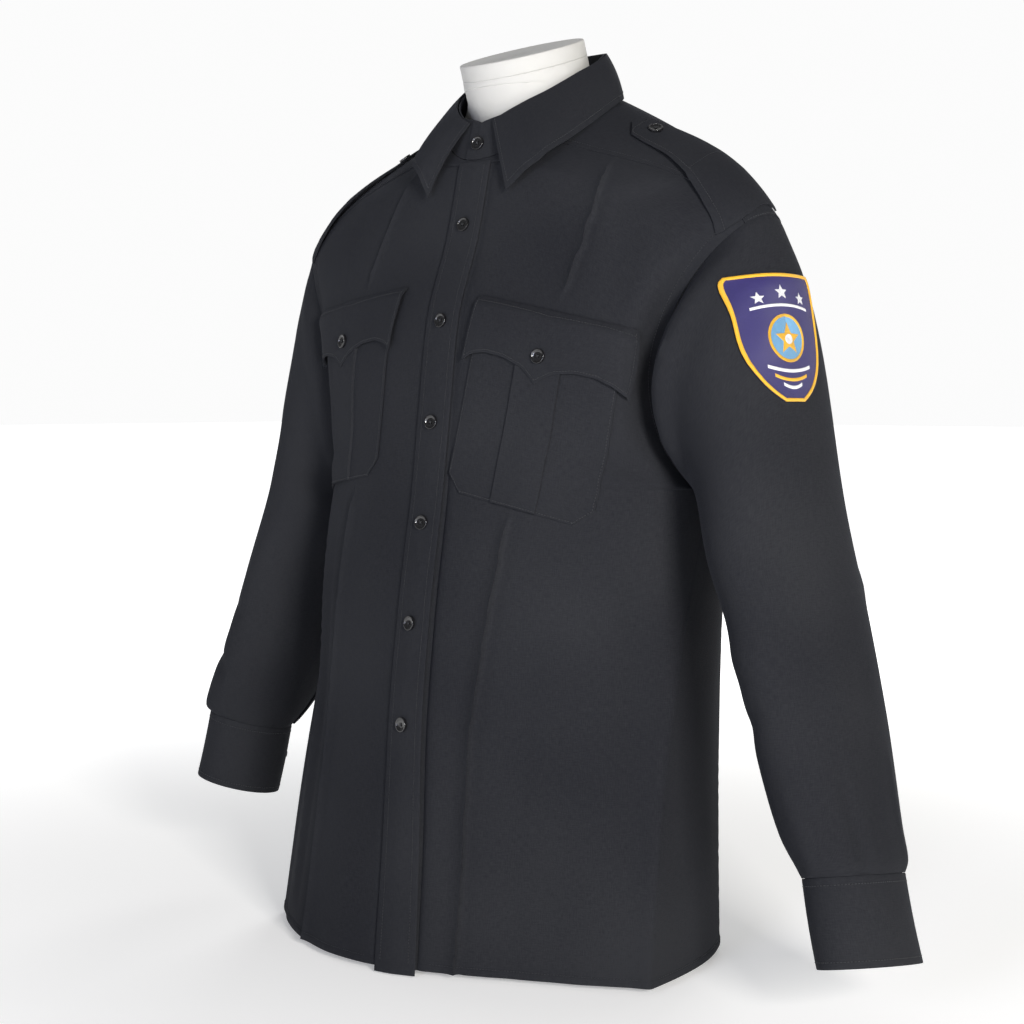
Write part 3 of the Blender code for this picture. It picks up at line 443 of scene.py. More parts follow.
def curve_value(knots, values, x):
    """Smooth curve through table columns, with no overshoot."""
    knots = np.asarray(knots, float)
    values = np.asarray(values, float)
    step = np.diff(knots)[:, None]
    slope = np.diff(values, axis=0) / step
    tangent = np.zeros_like(values)
    tangent[0] = slope[0]
    tangent[-1] = slope[-1]
    both = slope[:-1] * slope[1:]
    total = slope[:-1] + slope[1:]
    mean = 2.0 * both / np.where(np.abs(total) < 1e-12, 1.0, total)
    tangent[1:-1] = np.where(both > 0.0, mean, 0.0)
    at = int(np.clip(np.searchsorted(knots, x, side="right") - 1, 0, len(knots) - 2))
    h = knots[at + 1] - knots[at]
    t = (x - knots[at]) / h
    return (
        (2 * t**3 - 3 * t**2 + 1) * values[at]
        + (t**3 - 2 * t**2 + t) * h * tangent[at]
        + (-2 * t**3 + 3 * t**2) * values[at + 1]
        + (t**3 - t**2) * h * tangent[at + 1]
    )


def table_values(rows, x):
    """All columns of a table after its first one, read at x."""
    table = np.array(rows, float)
    return curve_value(table[:, 0], table[:, 1:], x)


def unit(vectors):
    """Vectors at length one, along the last axis."""
    vectors = np.asarray(vectors, float)
    return vectors / np.maximum(np.linalg.norm(vectors, axis=-1, keepdims=True), 1e-12)


def heading(turn, rise):
    return unit((math.cos(math.radians(turn)), math.sin(math.radians(turn)), rise))


def ring_points(ring, turns):
    """Points on a sleeve ring; turn 0 is the outer side, 90 the front."""
    out_x, out_z, in_x, in_z, y, front, saddle, rise = ring
    c = np.cos(np.radians(turns))
    s = np.sin(np.radians(turns))
    x = (out_x + in_x) / 2 + c * (out_x - in_x) / 2 + s * s * saddle
    z = (out_z + in_z) / 2 + c * (out_z - in_z) / 2 + s * rise
    return np.stack((x, y - s * front, z), axis=-1)


def armhole_turn(row):
    rows = (ROW_UNDERARM, ROW_NECK_FRONT, ROW_RIDGE, ROW_NECK_BACK, ROW_UNDERARM_BACK)
    return float(np.interp(row, rows, (180.0, 45.0, 0.0, -45.0, -180.0)))


def neckline(turn):
    """Neck seam; turn 0 is the centre front, 180 the centre back."""
    c = math.cos(math.radians(turn))
    s = math.sin(math.radians(turn))
    z = NECK_MIDDLE_Z - NECK_TILT_Z * c + NECK_SADDLE_Z * s * s
    return np.array((NECK_HALF_X * s, NECK_MIDDLE_Y - NECK_HALF_Y * c, z))


def middle_line(row):
    """Centre front, neckline and centre back as one line."""
    if ROW_NECK_FRONT <= row <= ROW_NECK_BACK:
        return neckline(180.0 * (row - ROW_NECK_FRONT) / (ROW_NECK_BACK - ROW_NECK_FRONT))
    behind = row > ROW_NECK_BACK
    step = ROW_LAST - row if behind else row
    z, front, back = table_values(CENTRE, step)
    if not behind:
        return np.array((0.0, front, z))
    rise = BACK_RISE * max(0.0, (step - 4.0) / 4.0) ** 1.5
    return np.array((0.0, back, z + rise))


def side_line(side, row):
    """Side seam and armhole as one line, measured as if on the left."""
    if ROW_UNDERARM <= row <= ROW_UNDERARM_BACK:
        return ring_points(ARMHOLE[1:], armhole_turn(row))
    step = min(row, ROW_LAST - row)
    z, left_x, left_y, right_x, right_y = table_values(SIDE_SEAM, step)
    return np.array((left_x, left_y, z)) if side > 0 else np.array((right_x, right_y, z))


def body_row(side, row, shares):
    """Points across half the shirt; share 0 is the middle, 1 the side."""
    start = middle_line(row)
    end = side_line(side, row)
    sweep = Sweep(row, *table_values(SWEEPS, row))
    turn_in, turn_out = (sweep.in_left, sweep.out_left) if side > 0 else (sweep.in_right, sweep.out_right)
    chord = float(np.linalg.norm(end - start))
    first = start + heading(turn_in, sweep.in_rise) * chord * sweep.in_length
    second = end - heading(turn_out, sweep.out_rise) * chord * sweep.out_length
    t = np.asarray(shares, float)[:, None]
    points = (1 - t) ** 3 * start + 3 * (1 - t) ** 2 * t * first + 3 * (1 - t) * t * t * second + t**3 * end
    return points * np.array((side, 1.0, 1.0))


SHARES = np.linspace(0.0, 1.0, 161)


def line_lengths(points):
    """Distance of each point of a line from its first, along it."""
    steps = np.linalg.norm(np.diff(points, axis=0), axis=1)
    return np.concatenate(((0.0,), np.cumsum(steps)))


def row_lengths(side, row):
    """Points along half a row, and how far each lies from the middle."""
    points = body_row(side, row, SHARES)
    return points, line_lengths(points)


def row_at(side, row, distances):
    _, lengths = row_lengths(side, row)
    return body_row(side, row, np.interp(distances, lengths, SHARES))


print("half width at the hem, mm:", round(row_lengths(1, 0.0)[1][-1] * 1000))

# %% [markdown]
# Cloth is thin, but it has two faces and an edge. A panel starts as a grid of
# points on its outer face. The inner face is the same grid moved in by the
# wall, and a rim closes them. The Solidify modifier does the same job; doing
# it in mesh code keeps the map, in metres, that the weave follows.
# %% From a grid of points to a closed piece of cloth
CLOTH = 0.0012
DOUBLE_CLOTH = 0.0016
LAID_ON = 0.0007
SHARP_EDGE = math.radians(48.0)


def metre_map(points, wrap=False):
    """Distances along and down a grid, one column more where it is a tube."""
    closed = np.concatenate((points, points[:, :1]), axis=1) if wrap else points
    along = np.linalg.norm(np.diff(closed, axis=1), axis=2)
    u = np.concatenate((np.zeros((len(points), 1)), np.cumsum(along, axis=1)), axis=1)
    down = np.linalg.norm(np.diff(closed, axis=0), axis=2).mean(axis=1)
    v = np.concatenate(((0.0,), np.cumsum(down)))[:, None] + np.zeros_like(u)
    return u, v


def grid_faces(rows, columns, wrap=False):
    """Quads of a grid, as indices of its points and of its map."""
    last = columns if wrap else columns - 1
    r, c = np.meshgrid(np.arange(rows - 1), np.arange(last), indexing="ij")
    n = (c + 1) % columns
    quads = np.stack((r * columns + c, r * columns + n, (r + 1) * columns + n, (r + 1) * columns + c), axis=-1)
    wide = last + 1
    maps = np.stack((r * wide + c, r * wide + c + 1, (r + 1) * wide + c + 1, (r + 1) * wide + c), axis=-1)
    return quads.reshape(-1, 4), maps.reshape(-1, 4)


def face_slopes(points, quads):
    """A vector square to each quad, as long as twice its area."""
    corners = points[quads]
    return np.cross(corners[:, 2] - corners[:, 0], corners[:, 3] - corners[:, 1])


def point_slopes(points, quads):
    """The slopes of the quads round each point, added up."""
    slopes = face_slopes(points, quads)
    total = np.zeros_like(points)
    for k in range(4):
        np.add.at(total, quads[:, k], slopes)
    return total


def grid_normals(points, away, wrap=False):
    """Slope at each point of a grid, on the side that away looks to."""
    quads, _ = grid_faces(*points.shape[:2], wrap)
    normals = unit(point_slopes(points.reshape(-1, 3), quads)).reshape(points.shape)
    return -normals if float(np.sum(normals * away)) < 0.0 else normals


def new_mesh(name, points, faces, corner_maps, material):
    """Smooth mesh with its map, in metres, and its material."""
    mesh = bpy.data.meshes.new(name)
    mesh.from_pydata(points.reshape(-1, 3).tolist(), [], faces.tolist())
    layer = mesh.uv_layers.new(name="metres")
    layer.data.foreach_set("uv", corner_maps.astype(np.float32).ravel())
    mesh.materials.append(material)
    mesh.shade_smooth()
    return mesh


def assign(piece, node=None):
    """Every piece rides on the one body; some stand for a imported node."""
    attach(piece, "root")
    if node:
        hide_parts(node)


def open_edges(quads):
    """Edges used by one quad only, each in that quad's direction."""
    edges = np.concatenate([quads[:, (k, (k + 1) % 4)] for k in range(4)])
    keys = np.sort(edges, axis=1)
    keys = keys[:, 0] * (keys.max() + 1) + keys[:, 1]
    _, first, count = np.unique(keys, return_index=True, return_counts=True)
    return edges[first[count == 1]]


def cloth_piece(name, grids, wall, material, away, wrap=False):
    """Closed sheet of cloth from the grids of its outer face, mapped in metres.

    away holds, for each grid, the directions that its outer face looks to.
    """
    quads = []
    flat = []
    maps = []
    metres = []
    start = 0
    for grid, look in zip(grids, away):
        q, m = grid_faces(*grid.shape[:2], wrap)
        points = grid.reshape(-1, 3)
        looks = np.broadcast_to(look, grid.shape).reshape(-1, 3)
        if float(np.sum(face_slopes(points, q) * looks[q[:, 0]])) < 0.0:
            q = q[:, ::-1]
            m = m[:, ::-1]
        quads.append(q + start)
        maps.append(m + sum(len(part) for part in metres))
        u, v = metre_map(grid, wrap)
        flat.append(points)
        metres.append(np.stack((u.ravel(), v.ravel()), axis=1))
        start += len(points)
    places = np.concatenate(flat)
    maps = np.concatenate(maps)
    metres = np.concatenate(metres)
    keys = np.round(places * 2e6).astype(np.int64)
    _, first, same = np.unique(keys, axis=0, return_index=True, return_inverse=True)
    quads = same.ravel()[np.concatenate(quads)]
    outer = places[first]
    inner = outer - unit(point_slopes(outer, quads)) * wall
    count = len(outer)
    edges = open_edges(quads)
    rim = np.stack((edges[:, 1], edges[:, 0], edges[:, 0] + count, edges[:, 1] + count), axis=1)
    faces = np.concatenate((quads, quads[:, ::-1] + count, rim))
    by_point = np.zeros((count, 2))
    by_point[quads.ravel()] = metres[maps.ravel()]
    rim_map = by_point[np.where(rim >= count, rim - count, rim)]
    corner_maps = np.concatenate((metres[maps], metres[maps[:, ::-1]], rim_map))
    mesh = new_mesh(name, np.concatenate((outer, inner)), faces, corner_maps, material)
    mesh.set_sharp_from_angle(angle=SHARP_EDGE)
    mesh.update()
    return add_object(name + "_cloth", mesh)


def flat_size(grids, wrap=False):
    """Cut size of a piece: width, length and area of its outer face."""
    width = 0.0
    length = 0.0
    area = 0.0
    for grid in grids:
        u, v = metre_map(grid, wrap)
        closed = np.concatenate((grid, grid[:, :1]), axis=1) if wrap else grid
        diagonals = np.cross(closed[1:, 1:] - closed[:-1, :-1], closed[1:, :-1] - closed[:-1, 1:])
        width += float(u.max())
        length = max(length, float(v.max()))
        area += 0.5 * float(np.linalg.norm(diagonals, axis=2).sum())
    return width, length, area


def declare(piece, node, grids, wrap=False):
    """Attach a cloth piece to the body, hide the imported node it replaces and print its cut size."""
    width, length, area = flat_size(grids, wrap)
    flat = (round(width, 3), round(length, 3))
    area = round(min(area, flat[0] * flat[1]), 4)
    assign(piece, node)
    print("%-24s cut %4.0f x %4.0f mm, %6d faces"
          % (piece.name, width * 1000, length * 1000, len(piece.data.polygons)))


def surface_of(*grids):
    """Search tree over the outer faces of panels already laid out."""
    points = []
    faces = []
    for grid in grids:
        quads, _ = grid_faces(*grid.shape[:2])
        faces.extend((quads + len(points)).tolist())
        points.extend(grid.reshape(-1, 3).tolist())
    return BVHTree.FromPolygons([Vector(point) for point in points], faces)


def settle(surface, point, away):
    """Point of the cloth straight under a point held off it, along away."""
    start = Vector(point) + Vector(away) * 0.06
    place, normal, _, _ = surface.ray_cast(start, -Vector(away))
    if place is None:
        place, normal, _, _ = surface.find_nearest(Vector(point))
    return np.array(place), np.array(normal)


def settle_grid(surface, points, away):
    return np.array([[settle(surface, point, away)[0] for point in line] for line in points])


# %% [markdown]
# Worn cloth is never even. Long soft folds fall from the chest to the hem,
# short ones gather where a sleeve meets its cuff, and the shoulders hollow a
# little beside the armholes. Cloth simulation would invent its own folds, so
# they are placed where the photograph shows them, and like ones on the sides
# it hides. Each fold is a line on the panel, in metres from the panel's
# middle line and above the floor, with its own width and depth.
# %% Soft folds
MM = 0.001
# Each fold: its start, bend and end in metres, its width and depth in millimetres.
FOLDS = {
    "front_left": (
        ((0.118, 0.30), (0.108, 0.16), (0.100, -0.04), 15, -1.6),
        ((0.176, 0.38), (0.170, 0.18), (0.165, -0.05), 20, 2.2),
        ((0.204, 0.40), (0.209, 0.20), (0.212, -0.05), 12, -2.4),
        ((0.150, 0.135), (0.163, 0.130), (0.176, 0.134), 5, -1.2),
        ((0.168, 0.70), (0.184, 0.63), (0.190, 0.56), 20, -2.6),
        ((0.222, 0.52), (0.205, 0.46), (0.196, 0.38), 13, -2.0),
        ((0.060, 0.36), (0.052, 0.22), (0.045, 0.06), 10, -0.9),
        ((0.035, 0.62), (0.045, 0.56), (0.040, 0.48), 12, 1.0),
    ),
    "front_right": (
        ((0.036, 0.43), (0.040, 0.26), (0.038, 0.04), 12, -1.7),
        ((0.150, 0.42), (0.150, 0.25), (0.158, 0.02), 9, -2.0),
        ((0.172, 0.47), (0.172, 0.30), (0.178, 0.02), 9, 2.2),
        ((0.200, 0.40), (0.206, 0.20), (0.214, -0.05), 14, -2.0),
        ((0.150, 0.71), (0.172, 0.64), (0.184, 0.57), 18, -2.2),
        ((0.080, 0.24), (0.084, 0.12), (0.078, -0.05), 18, 1.4),
    ),
    "back": (
        ((0.176, 0.36), (0.182, 0.20), (0.186, -0.05), 18, 3.0),
        ((0.132, 0.42), (0.138, 0.22), (0.128, -0.05), 16, -2.6),
        ((0.062, 0.34), (0.054, 0.18), (0.058, -0.05), 22, 2.4),
        ((0.012, 0.48), (0.004, 0.30), (0.010, 0.10), 15, -1.6),
        ((-0.050, 0.40), (-0.058, 0.20), (-0.052, -0.05), 20, 2.8),
        ((-0.118, 0.36), (-0.124, 0.18), (-0.132, -0.05), 17, -2.8),
        ((-0.180, 0.42), (-0.174, 0.22), (-0.182, -0.05), 15, 2.4),
        ((0.206, 0.60), (0.176, 0.52), (0.132, 0.42), 17, -3.0),
        ((-0.202, 0.62), (-0.168, 0.53), (-0.120, 0.46), 19, -2.6),
        ((0.236, 0.52), (0.214, 0.44), (0.196, 0.34), 14, 2.4),
        ((-0.240, 0.50), (-0.216, 0.43), (-0.204, 0.33), 14, 2.2),
    ),
    "sleeve_left": (
        ((0.100, 0.260), (0.150, 0.225), (0.205, 0.215), 12, -2.6),
        ((0.085, 0.310), (0.140, 0.290), (0.200, 0.275), 14, 2.0),
        ((-0.080, 0.300), (-0.130, 0.260), (-0.190, 0.245), 13, -3.0),
        ((-0.060, 0.350), (-0.110, 0.330), (-0.170, 0.300), 14, 2.4),
        ((-0.010, 0.300), (0.004, 0.220), (0.016, 0.170), 16, -1.6),
        ((0.045, 0.215), (0.030, 0.175), (0.035, 0.120), 8, -2.4),
        ((0.092, 0.200), (0.080, 0.165), (0.078, 0.120), 8, 2.2),
        ((-0.030, 0.220), (-0.028, 0.170), (-0.024, 0.120), 7, 2.0),
        ((-0.082, 0.200), (-0.072, 0.160), (-0.066, 0.120), 6, -3.0),
        ((0.030, 0.640), (0.070, 0.570), (0.100, 0.480), 15, -1.6),
        ((-0.040, 0.620), (-0.080, 0.560), (-0.130, 0.500), 16, -2.6),
    ),
    "sleeve_right": (
        ((0.046, 0.262), (0.074, 0.232), (0.112, 0.214), 7, -3.4),
        ((0.070, 0.300), (0.110, 0.272), (0.160, 0.262), 12, -2.2),
        ((0.020, 0.250), (0.034, 0.210), (0.040, 0.160), 8, 1.8),
        ((0.098, 0.246), (0.094, 0.210), (0.090, 0.165), 7, 2.2),
        ((-0.040, 0.270), (-0.034, 0.220), (-0.030, 0.160), 8, -2.4),
        ((-0.084, 0.260), (-0.072, 0.215), (-0.066, 0.160), 7, 2.6),
        ((-0.070, 0.380), (-0.120, 0.340), (-0.180, 0.320), 14, -3.0),
        ((0.110, 0.420), (0.080, 0.360), (0.075, 0.290), 14, -1.6),
        ((-0.050, 0.620), (-0.090, 0.550), (-0.130, 0.480), 16, -2.4),
    ),
}


def fold_shift(piece, across, height):
    """How far each point of a panel moves out for its folds."""
    shift = np.zeros_like(across)
    t = np.linspace(0.0, 1.0, 33)[:, None]
    for start, bend, end, width, depth in FOLDS[piece]:
        path = (1 - t) ** 2 * np.array(start) + 2 * t * (1 - t) * np.array(bend) + t**2 * np.array(end)
        gap = np.hypot(across[..., None] - path[:, 0], height[..., None] - path[:, 1])
        share = gap.argmin(axis=-1) / (len(path) - 1.0)
        taper = np.sqrt(np.clip(4.0 * share * (1.0 - share), 0.0, 1.0))
        reach = width * MM * (0.55 + 0.45 * taper)
        shift += depth * MM * taper * np.exp(-((gap.min(axis=-1) / reach) ** 2))
    return shift


print("soft folds:", sum(len(folds) for folds in FOLDS.values()))

# %% [markdown]
# The body of the shirt is two fronts, a shoulder yoke and one back. A tailor
# cuts them from folded cloth, sews them at the shoulder and side seams, and
# presses a crease down each front. The hem is turned up once and stitched,
# so it is a little thicker than the cloth above it.
# %% Fronts, yoke and back
BODY_MIDDLE = np.array((0.0, 0.03, 0.40))
CREASE_OFFSETS = (-12 * MM, -6 * MM, -2.5 * MM, 0.0, 1.5 * MM, 4 * MM, 9 * MM)
CREASE_RISES = (0.0, 0.9 * MM, 2.4 * MM, 3.8 * MM, 0.2 * MM, -1.2 * MM, 0.0)
BY_PLACKET = (0.0, 10 * MM, 17 * MM, 19 * MM, 20.5 * MM, 22.5 * MM, 26 * MM, 32 * MM)
GROOVE_RISES = (0.0, 0.0, 0.0, -2.0 * MM, -4.0 * MM, -2.0 * MM, 0.0, 0.0)
HEM_TURN = 0.6 * MM
SEAM_SINK = 0.8 * MM

Crease = namedtuple("Crease", "z x share")
CREASES = {
    1: (
        Crease(0.000, 0.050, 1.0),
        Crease(0.217, 0.062, 1.0),
        Crease(0.385, 0.083, 1.0),
        Crease(0.405, 0.086, 0.0),
        Crease(0.588, 0.1205, 0.0),
        Crease(0.604, 0.1260, 0.9),
        Crease(0.630, 0.1310, 1.0),
        Crease(0.634, 0.1335, 0.7),
        Crease(0.660, 0.1350, 1.0),
        Crease(0.664, 0.1375, 0.7),
        Crease(0.694, 0.1385, 0.8),
        Crease(0.716, 0.1385, 0.0),
    ),
    -1: (
        Crease(0.000, 0.1216, 1.0),
        Crease(0.218, 0.1220, 1.0),
        Crease(0.398, 0.1130, 0.9),
        Crease(0.422, 0.1135, 0.0),
        Crease(0.607, 0.1210, 0.0),
        Crease(0.622, 0.1160, 0.6),
        Crease(0.690, 0.0950, 0.6),
        Crease(0.725, 0.0815, 0.0),
    ),
}
FRONT_ROWS = np.concatenate((
    (0.0, 0.02, 0.055, 0.065, 0.09, 0.13),
    np.arange(0.18, 3.97, 0.06),
    np.linspace(4.0, 8.0, 58),
    np.linspace(8.1, 9.0, 10),
))
BACK_ROWS = np.concatenate((
    np.linspace(13.0, 16.0, 52)[:-1],
    20.0 - np.arange(0.18, 3.97, 0.06)[::-1],
    20.0 - np.array((0.13, 0.09, 0.065, 0.055, 0.02, 0.0)),
))
YOKE_ROWS = np.linspace(9.0, 13.0, 49)


def crease_place(side, row):
    """Distance of the pressed crease from the middle, and how sharp it is."""
    points, lengths = row_lengths(side, row)
    table = np.array(CREASES[side])
    ahead = np.abs(points[:, 0]) - np.interp(points[:, 2], table[:, 0], table[:, 1])
    at = int(np.argmax(ahead > 0.0))
    share = float(np.interp(points[at, 2], table[:, 0], table[:, 2]))
    return max(lengths[at], 0.048), share, lengths[-1]


def front_columns(side, row):
    crease, share, total = crease_place(side, row)
    before = np.linspace(BY_PLACKET[-1], crease + CREASE_OFFSETS[0], 12)[1:-1]
    after = np.linspace(crease + CREASE_OFFSETS[-1], total - 4 * MM, 24)[1:-1]
    return np.concatenate((BY_PLACKET, before, crease + np.array(CREASE_OFFSETS), after,
                           (total - 4 * MM, total - 2 * MM, total))), share


def armhole_sink(side, turns):
    """How deep the cloth sinks along the armhole, round its turn; the far one is shallow."""
    return (1.0 if side > 0 else 0.4) * np.interp(turns, (-180.0, -120.0, -60.0, -20.0, 25.0, 50.0, 80.0, 120.0, 150.0, 180.0),
                     (5.0, 8.0, 6.0, 0.0, 0.0, 10.0, 25.0, 30.0, 20.0, 5.0)) * MM


def armhole_pull(side, turns):
    """Direction of that sinking: back and inwards in front, forwards behind."""
    turns = np.asarray(turns, float)
    front = np.sin(np.radians(turns))
    pull = np.stack((-0.45 * side + 0.0 * front, 0.9 * np.clip(front * 2.0, -1.0, 1.0), 0.0 * front), axis=-1)
    return unit(pull)


def pull_armhole(side, rows, columns):
    """Shift of a half body grid that makes the valley beside the sleeve."""
    away = columns.max(axis=1, keepdims=True) - columns
    inside = (rows >= ROW_UNDERARM) & (rows <= ROW_UNDERARM_BACK)
    turns = np.array([armhole_turn(row) for row in rows])
    below = np.where(rows < ROW_UNDERARM, ROW_UNDERARM - rows, rows - ROW_UNDERARM_BACK)
    fade = np.where(inside, 1.0, np.exp(-((below / 0.9) ** 2)))
    depth = armhole_sink(side, turns) * fade
    share = np.exp(-((away / (18 * MM)) ** 2))
    return armhole_pull(side, turns)[:, None, :] * (depth[:, None] * share)[..., None]


def edge_window(columns, rows_in):
    """Folds fade out towards the seams round a panel."""
    last = columns.max(axis=1, keepdims=True)
    across = np.clip((last - np.abs(columns)) / (18 * MM), 0.0, 1.0)
    return (across * across * (3 - 2 * across)) * np.clip(rows_in, 0.0, 1.0)[:, None]


def hem_rise(rows_up):
    return np.where(rows_up < 0.06, HEM_TURN, 0.0)[:, None]


def build_front(side, word):
    """Front panel twice over: worn but uncreased, and with its creases."""
    placed = [front_columns(side, row) for row in FRONT_ROWS]
    columns = np.array([distances for distances, _ in placed])
    shares = np.array([share for _, share in placed])
    base = np.array([row_at(side, row, distances) for row, (distances, _) in zip(FRONT_ROWS, placed)])
    name = "front_" + word
    normals = grid_normals(base, base - BODY_MIDDLE)
    window = edge_window(columns, (ROW_YOKE_FRONT - FRONT_ROWS) / 0.4)
    worn = base + normals * (fold_shift(name, columns, base[..., 2]) * window)[..., None]
    worn = worn + pull_armhole(side, FRONT_ROWS, columns)
    rise = np.zeros(columns.shape) + hem_rise(FRONT_ROWS)
    first = len(BY_PLACKET) + 10
    rise[:, first:first + 7] += shares[:, None] * np.array(CREASE_RISES)
    z = base[:, 0, 2]
    if side > 0:
        depth = np.interp(z, (0.02, 0.12, 0.30, 0.40, 0.47, 0.50), (0.5, 0.9, 1.0, 0.9, 0.3, 0.25))
        rise[:, :8] += depth[:, None] * np.array(GROOVE_RISES)
    else:
        rise[:, :8] += 0.25 * np.array(GROOVE_RISES)
    rise[:, -1] -= SEAM_SINK
    rise[:, -2] -= SEAM_SINK * 0.25
    rise[-2:] -= np.array((0.5, 1.0))[:, None] * SEAM_SINK
    outer = worn + normals * rise[..., None]
    piece = cloth_piece(name, [outer], CLOTH, CLOTH_FINISH, [base - BODY_MIDDLE])
    declare(piece, name, [outer])
    return worn, outer


def build_back():
    halves = []
    for side in (1, -1):
        totals = np.array([row_lengths(side, row)[1][-1] for row in BACK_ROWS])
        shares = np.linspace(0.0, 1.0, 46)
        columns = (totals - 4 * MM)[:, None] * shares
        columns = np.concatenate((columns, totals[:, None] - 2 * MM, totals[:, None]), axis=1)
        grid = np.array([row_at(side, row, distances) for row, distances in zip(BACK_ROWS, columns)])
        grid = grid + pull_armhole(side, BACK_ROWS, columns)
        halves.append((grid, columns))
    base = np.concatenate((halves[1][0][:, :0:-1], halves[0][0]), axis=1)
    columns = np.concatenate((-halves[1][1][:, :0:-1], halves[0][1]), axis=1)
    normals = grid_normals(base, base - BODY_MIDDLE)
    reach = np.where(columns < 0.0, -columns.min(axis=1, keepdims=True), columns.max(axis=1, keepdims=True))
    across = np.clip((reach - np.abs(columns)) / (18 * MM), 0.0, 1.0)
    window = across * across * (3 - 2 * across) * np.clip((BACK_ROWS - ROW_YOKE_BACK) / 0.4, 0.0, 1.0)[:, None]
    z = base[..., 2]
    shift = fold_shift("back", columns, z) * window
    for place in (-105 * MM, 0.0, 105 * MM):
        gap = np.abs(columns - place)
        fade = np.clip((0.70 - z) / 0.06, 0.0, 1.0)
        shift += 1.6 * MM * fade * np.exp(-gap / (3.5 * MM))
    rise = np.zeros(columns.shape) + hem_rise(ROW_LAST - BACK_ROWS)
    rise[:, (0, -1)] -= SEAM_SINK
    rise[:2] -= np.array((1.0, 0.5))[:, None] * SEAM_SINK
    outer = base + normals * (shift + rise)[..., None]
    piece = cloth_piece("back", [outer], CLOTH, CLOTH_FINISH, [base - BODY_MIDDLE])
    declare(piece, "back", [outer])
    return outer


def build_yoke():
    halves = []
    for side in (1, -1):
        grid = []
        columns = []
        for row in YOKE_ROWS:
            total = row_lengths(side, row)[1][-1]
            inside = np.linspace(2 * MM, total - 3 * MM, 42)
            columns.append(np.concatenate(((0.0,), inside, (total - 1 * MM, total))))
            grid.append(row_at(side, row, columns[-1]))
        halves.append(np.array(grid) + pull_armhole(side, YOKE_ROWS, np.array(columns)))
    outers = []
    for grid in halves:
        normals = grid_normals(grid, grid - BODY_MIDDLE)
        rise = np.zeros(grid.shape[:2])
        rise[:, -1] -= SEAM_SINK
        rise[(0, -1), :] += 0.2 * MM
        outer = grid + normals * rise[..., None]
        join = YOKE_ROWS >= ROW_NECK_BACK - 1e-6
        outer[join, 0, 0] = 0.0
        outers.append(outer)
    joined = YOKE_ROWS >= ROW_NECK_BACK - 1e-6
    middle = (outers[0][joined, 0] + outers[1][joined, 0]) / 2
    outers[0][joined, 0] = middle
    outers[1][joined, 0] = middle
    piece = cloth_piece("yoke", outers, CLOTH, CLOTH_FINISH, [grid - BODY_MIDDLE for grid in halves])
    declare(piece, "yoke", outers)
    return outers


front_left, front_left_outer = build_front(1, "left")
front_right, front_right_outer = build_front(-1, "right")
yoke = build_yoke()
back = build_back()
fronts = surface_of(front_left, front_right)

# %% [markdown]
# A sleeve is a tube sewn along the underarm and set into the armhole. It is a
# little fuller than the hole, so its head stands up softly at the seam, and
# it bends forward below the elbow because the sewn line is curved.
# %% Sleeves
SLEEVE_COLUMNS = 108
SLEEVE_STEPS = np.concatenate((
    (0.0, 0.004, 0.010, 0.018),
    np.linspace(0.028, 0.96, 96),
    np.linspace(0.966, 1.0, 6),
))


def sleeve_rows(side, steps, turns):
    rings = LEFT_SLEEVE if side > 0 else RIGHT_SLEEVE
    grid = np.array([ring_points(table_values(rings, step), turns) for step in steps])
    return grid * np.array((side, 1.0, 1.0))


def build_sleeve(side, word):
    name = "sleeve_" + word
    turns = np.linspace(-180.0, 180.0, SLEEVE_COLUMNS, endpoint=False)
    base = sleeve_rows(side, SLEEVE_STEPS, turns)
    middle = base.mean(axis=1, keepdims=True)
    away = base - middle
    normals = grid_normals(base, away, wrap=True)
    outside = int(np.argmin(np.abs(turns)))
    u, _ = metre_map(base, wrap=True)
    around = u[:, :-1] - u[:, outside, None]
    window = np.clip((SLEEVE_STEPS - 0.012) / 0.05, 0.0, 1.0) * np.clip((1.0 - SLEEVE_STEPS) / 0.012, 0.0, 1.0)
    worn = base + normals * (fold_shift(name, around, base[..., 2]) * window[:, None])[..., None]
    down = np.concatenate((np.zeros((1, len(turns))), np.cumsum(np.linalg.norm(np.diff(base, axis=0), axis=2), axis=0)))
    share = np.exp(-((np.clip(down - 3 * MM, 0.0, None) / (9 * MM)) ** 2))
    worn = worn + armhole_pull(side, turns) * (armhole_sink(side, turns) * share)[..., None]
    bulge = np.interp(turns, (30.0, 60.0, 95.0, 125.0, 155.0), (0.0, 7.0, 11.0, 9.0, 0.0)) * MM * (1.0 if side > 0 else 0.4)
    share = np.exp(-(((down - 17 * MM) / (13 * MM)) ** 2)) * np.clip(down / (8 * MM), 0.0, 1.0)
    worn = worn + np.array((-0.5 * side, -0.86, 0.0)) * (bulge * share)[..., None]
    rise = np.interp(SLEEVE_STEPS, (0.0, 0.004, 0.010, 0.03, 0.07), (-1.2 * MM, -0.2 * MM, 0.3 * MM, 0.4 * MM, 0.0))
    rise = rise[:, None] + np.zeros(base.shape[:2])
    rise[:, 0] -= SEAM_SINK
    outer = worn + normals * rise[..., None]
    ahead = unit(outer[-1] - outer[-2])
    inside = outer[-1] - normals[-1] * (DOUBLE_CLOTH + 0.5 * MM)
    tucked = np.concatenate((outer, (inside + ahead * 0.1 * MM)[None], (inside + ahead * 5 * MM)[None]))
    away = np.concatenate((away, away[-1:], away[-1:]))
    piece = cloth_piece(name, [tucked], CLOTH, CLOTH_FINISH, [away], wrap=True)
    declare(piece, name, [outer], wrap=True)
    return worn, outer


sleeve_left, sleeve_left_outer = build_sleeve(1, "left")
sleeve_right, sleeve_right_outer = build_sleeve(-1, "right")

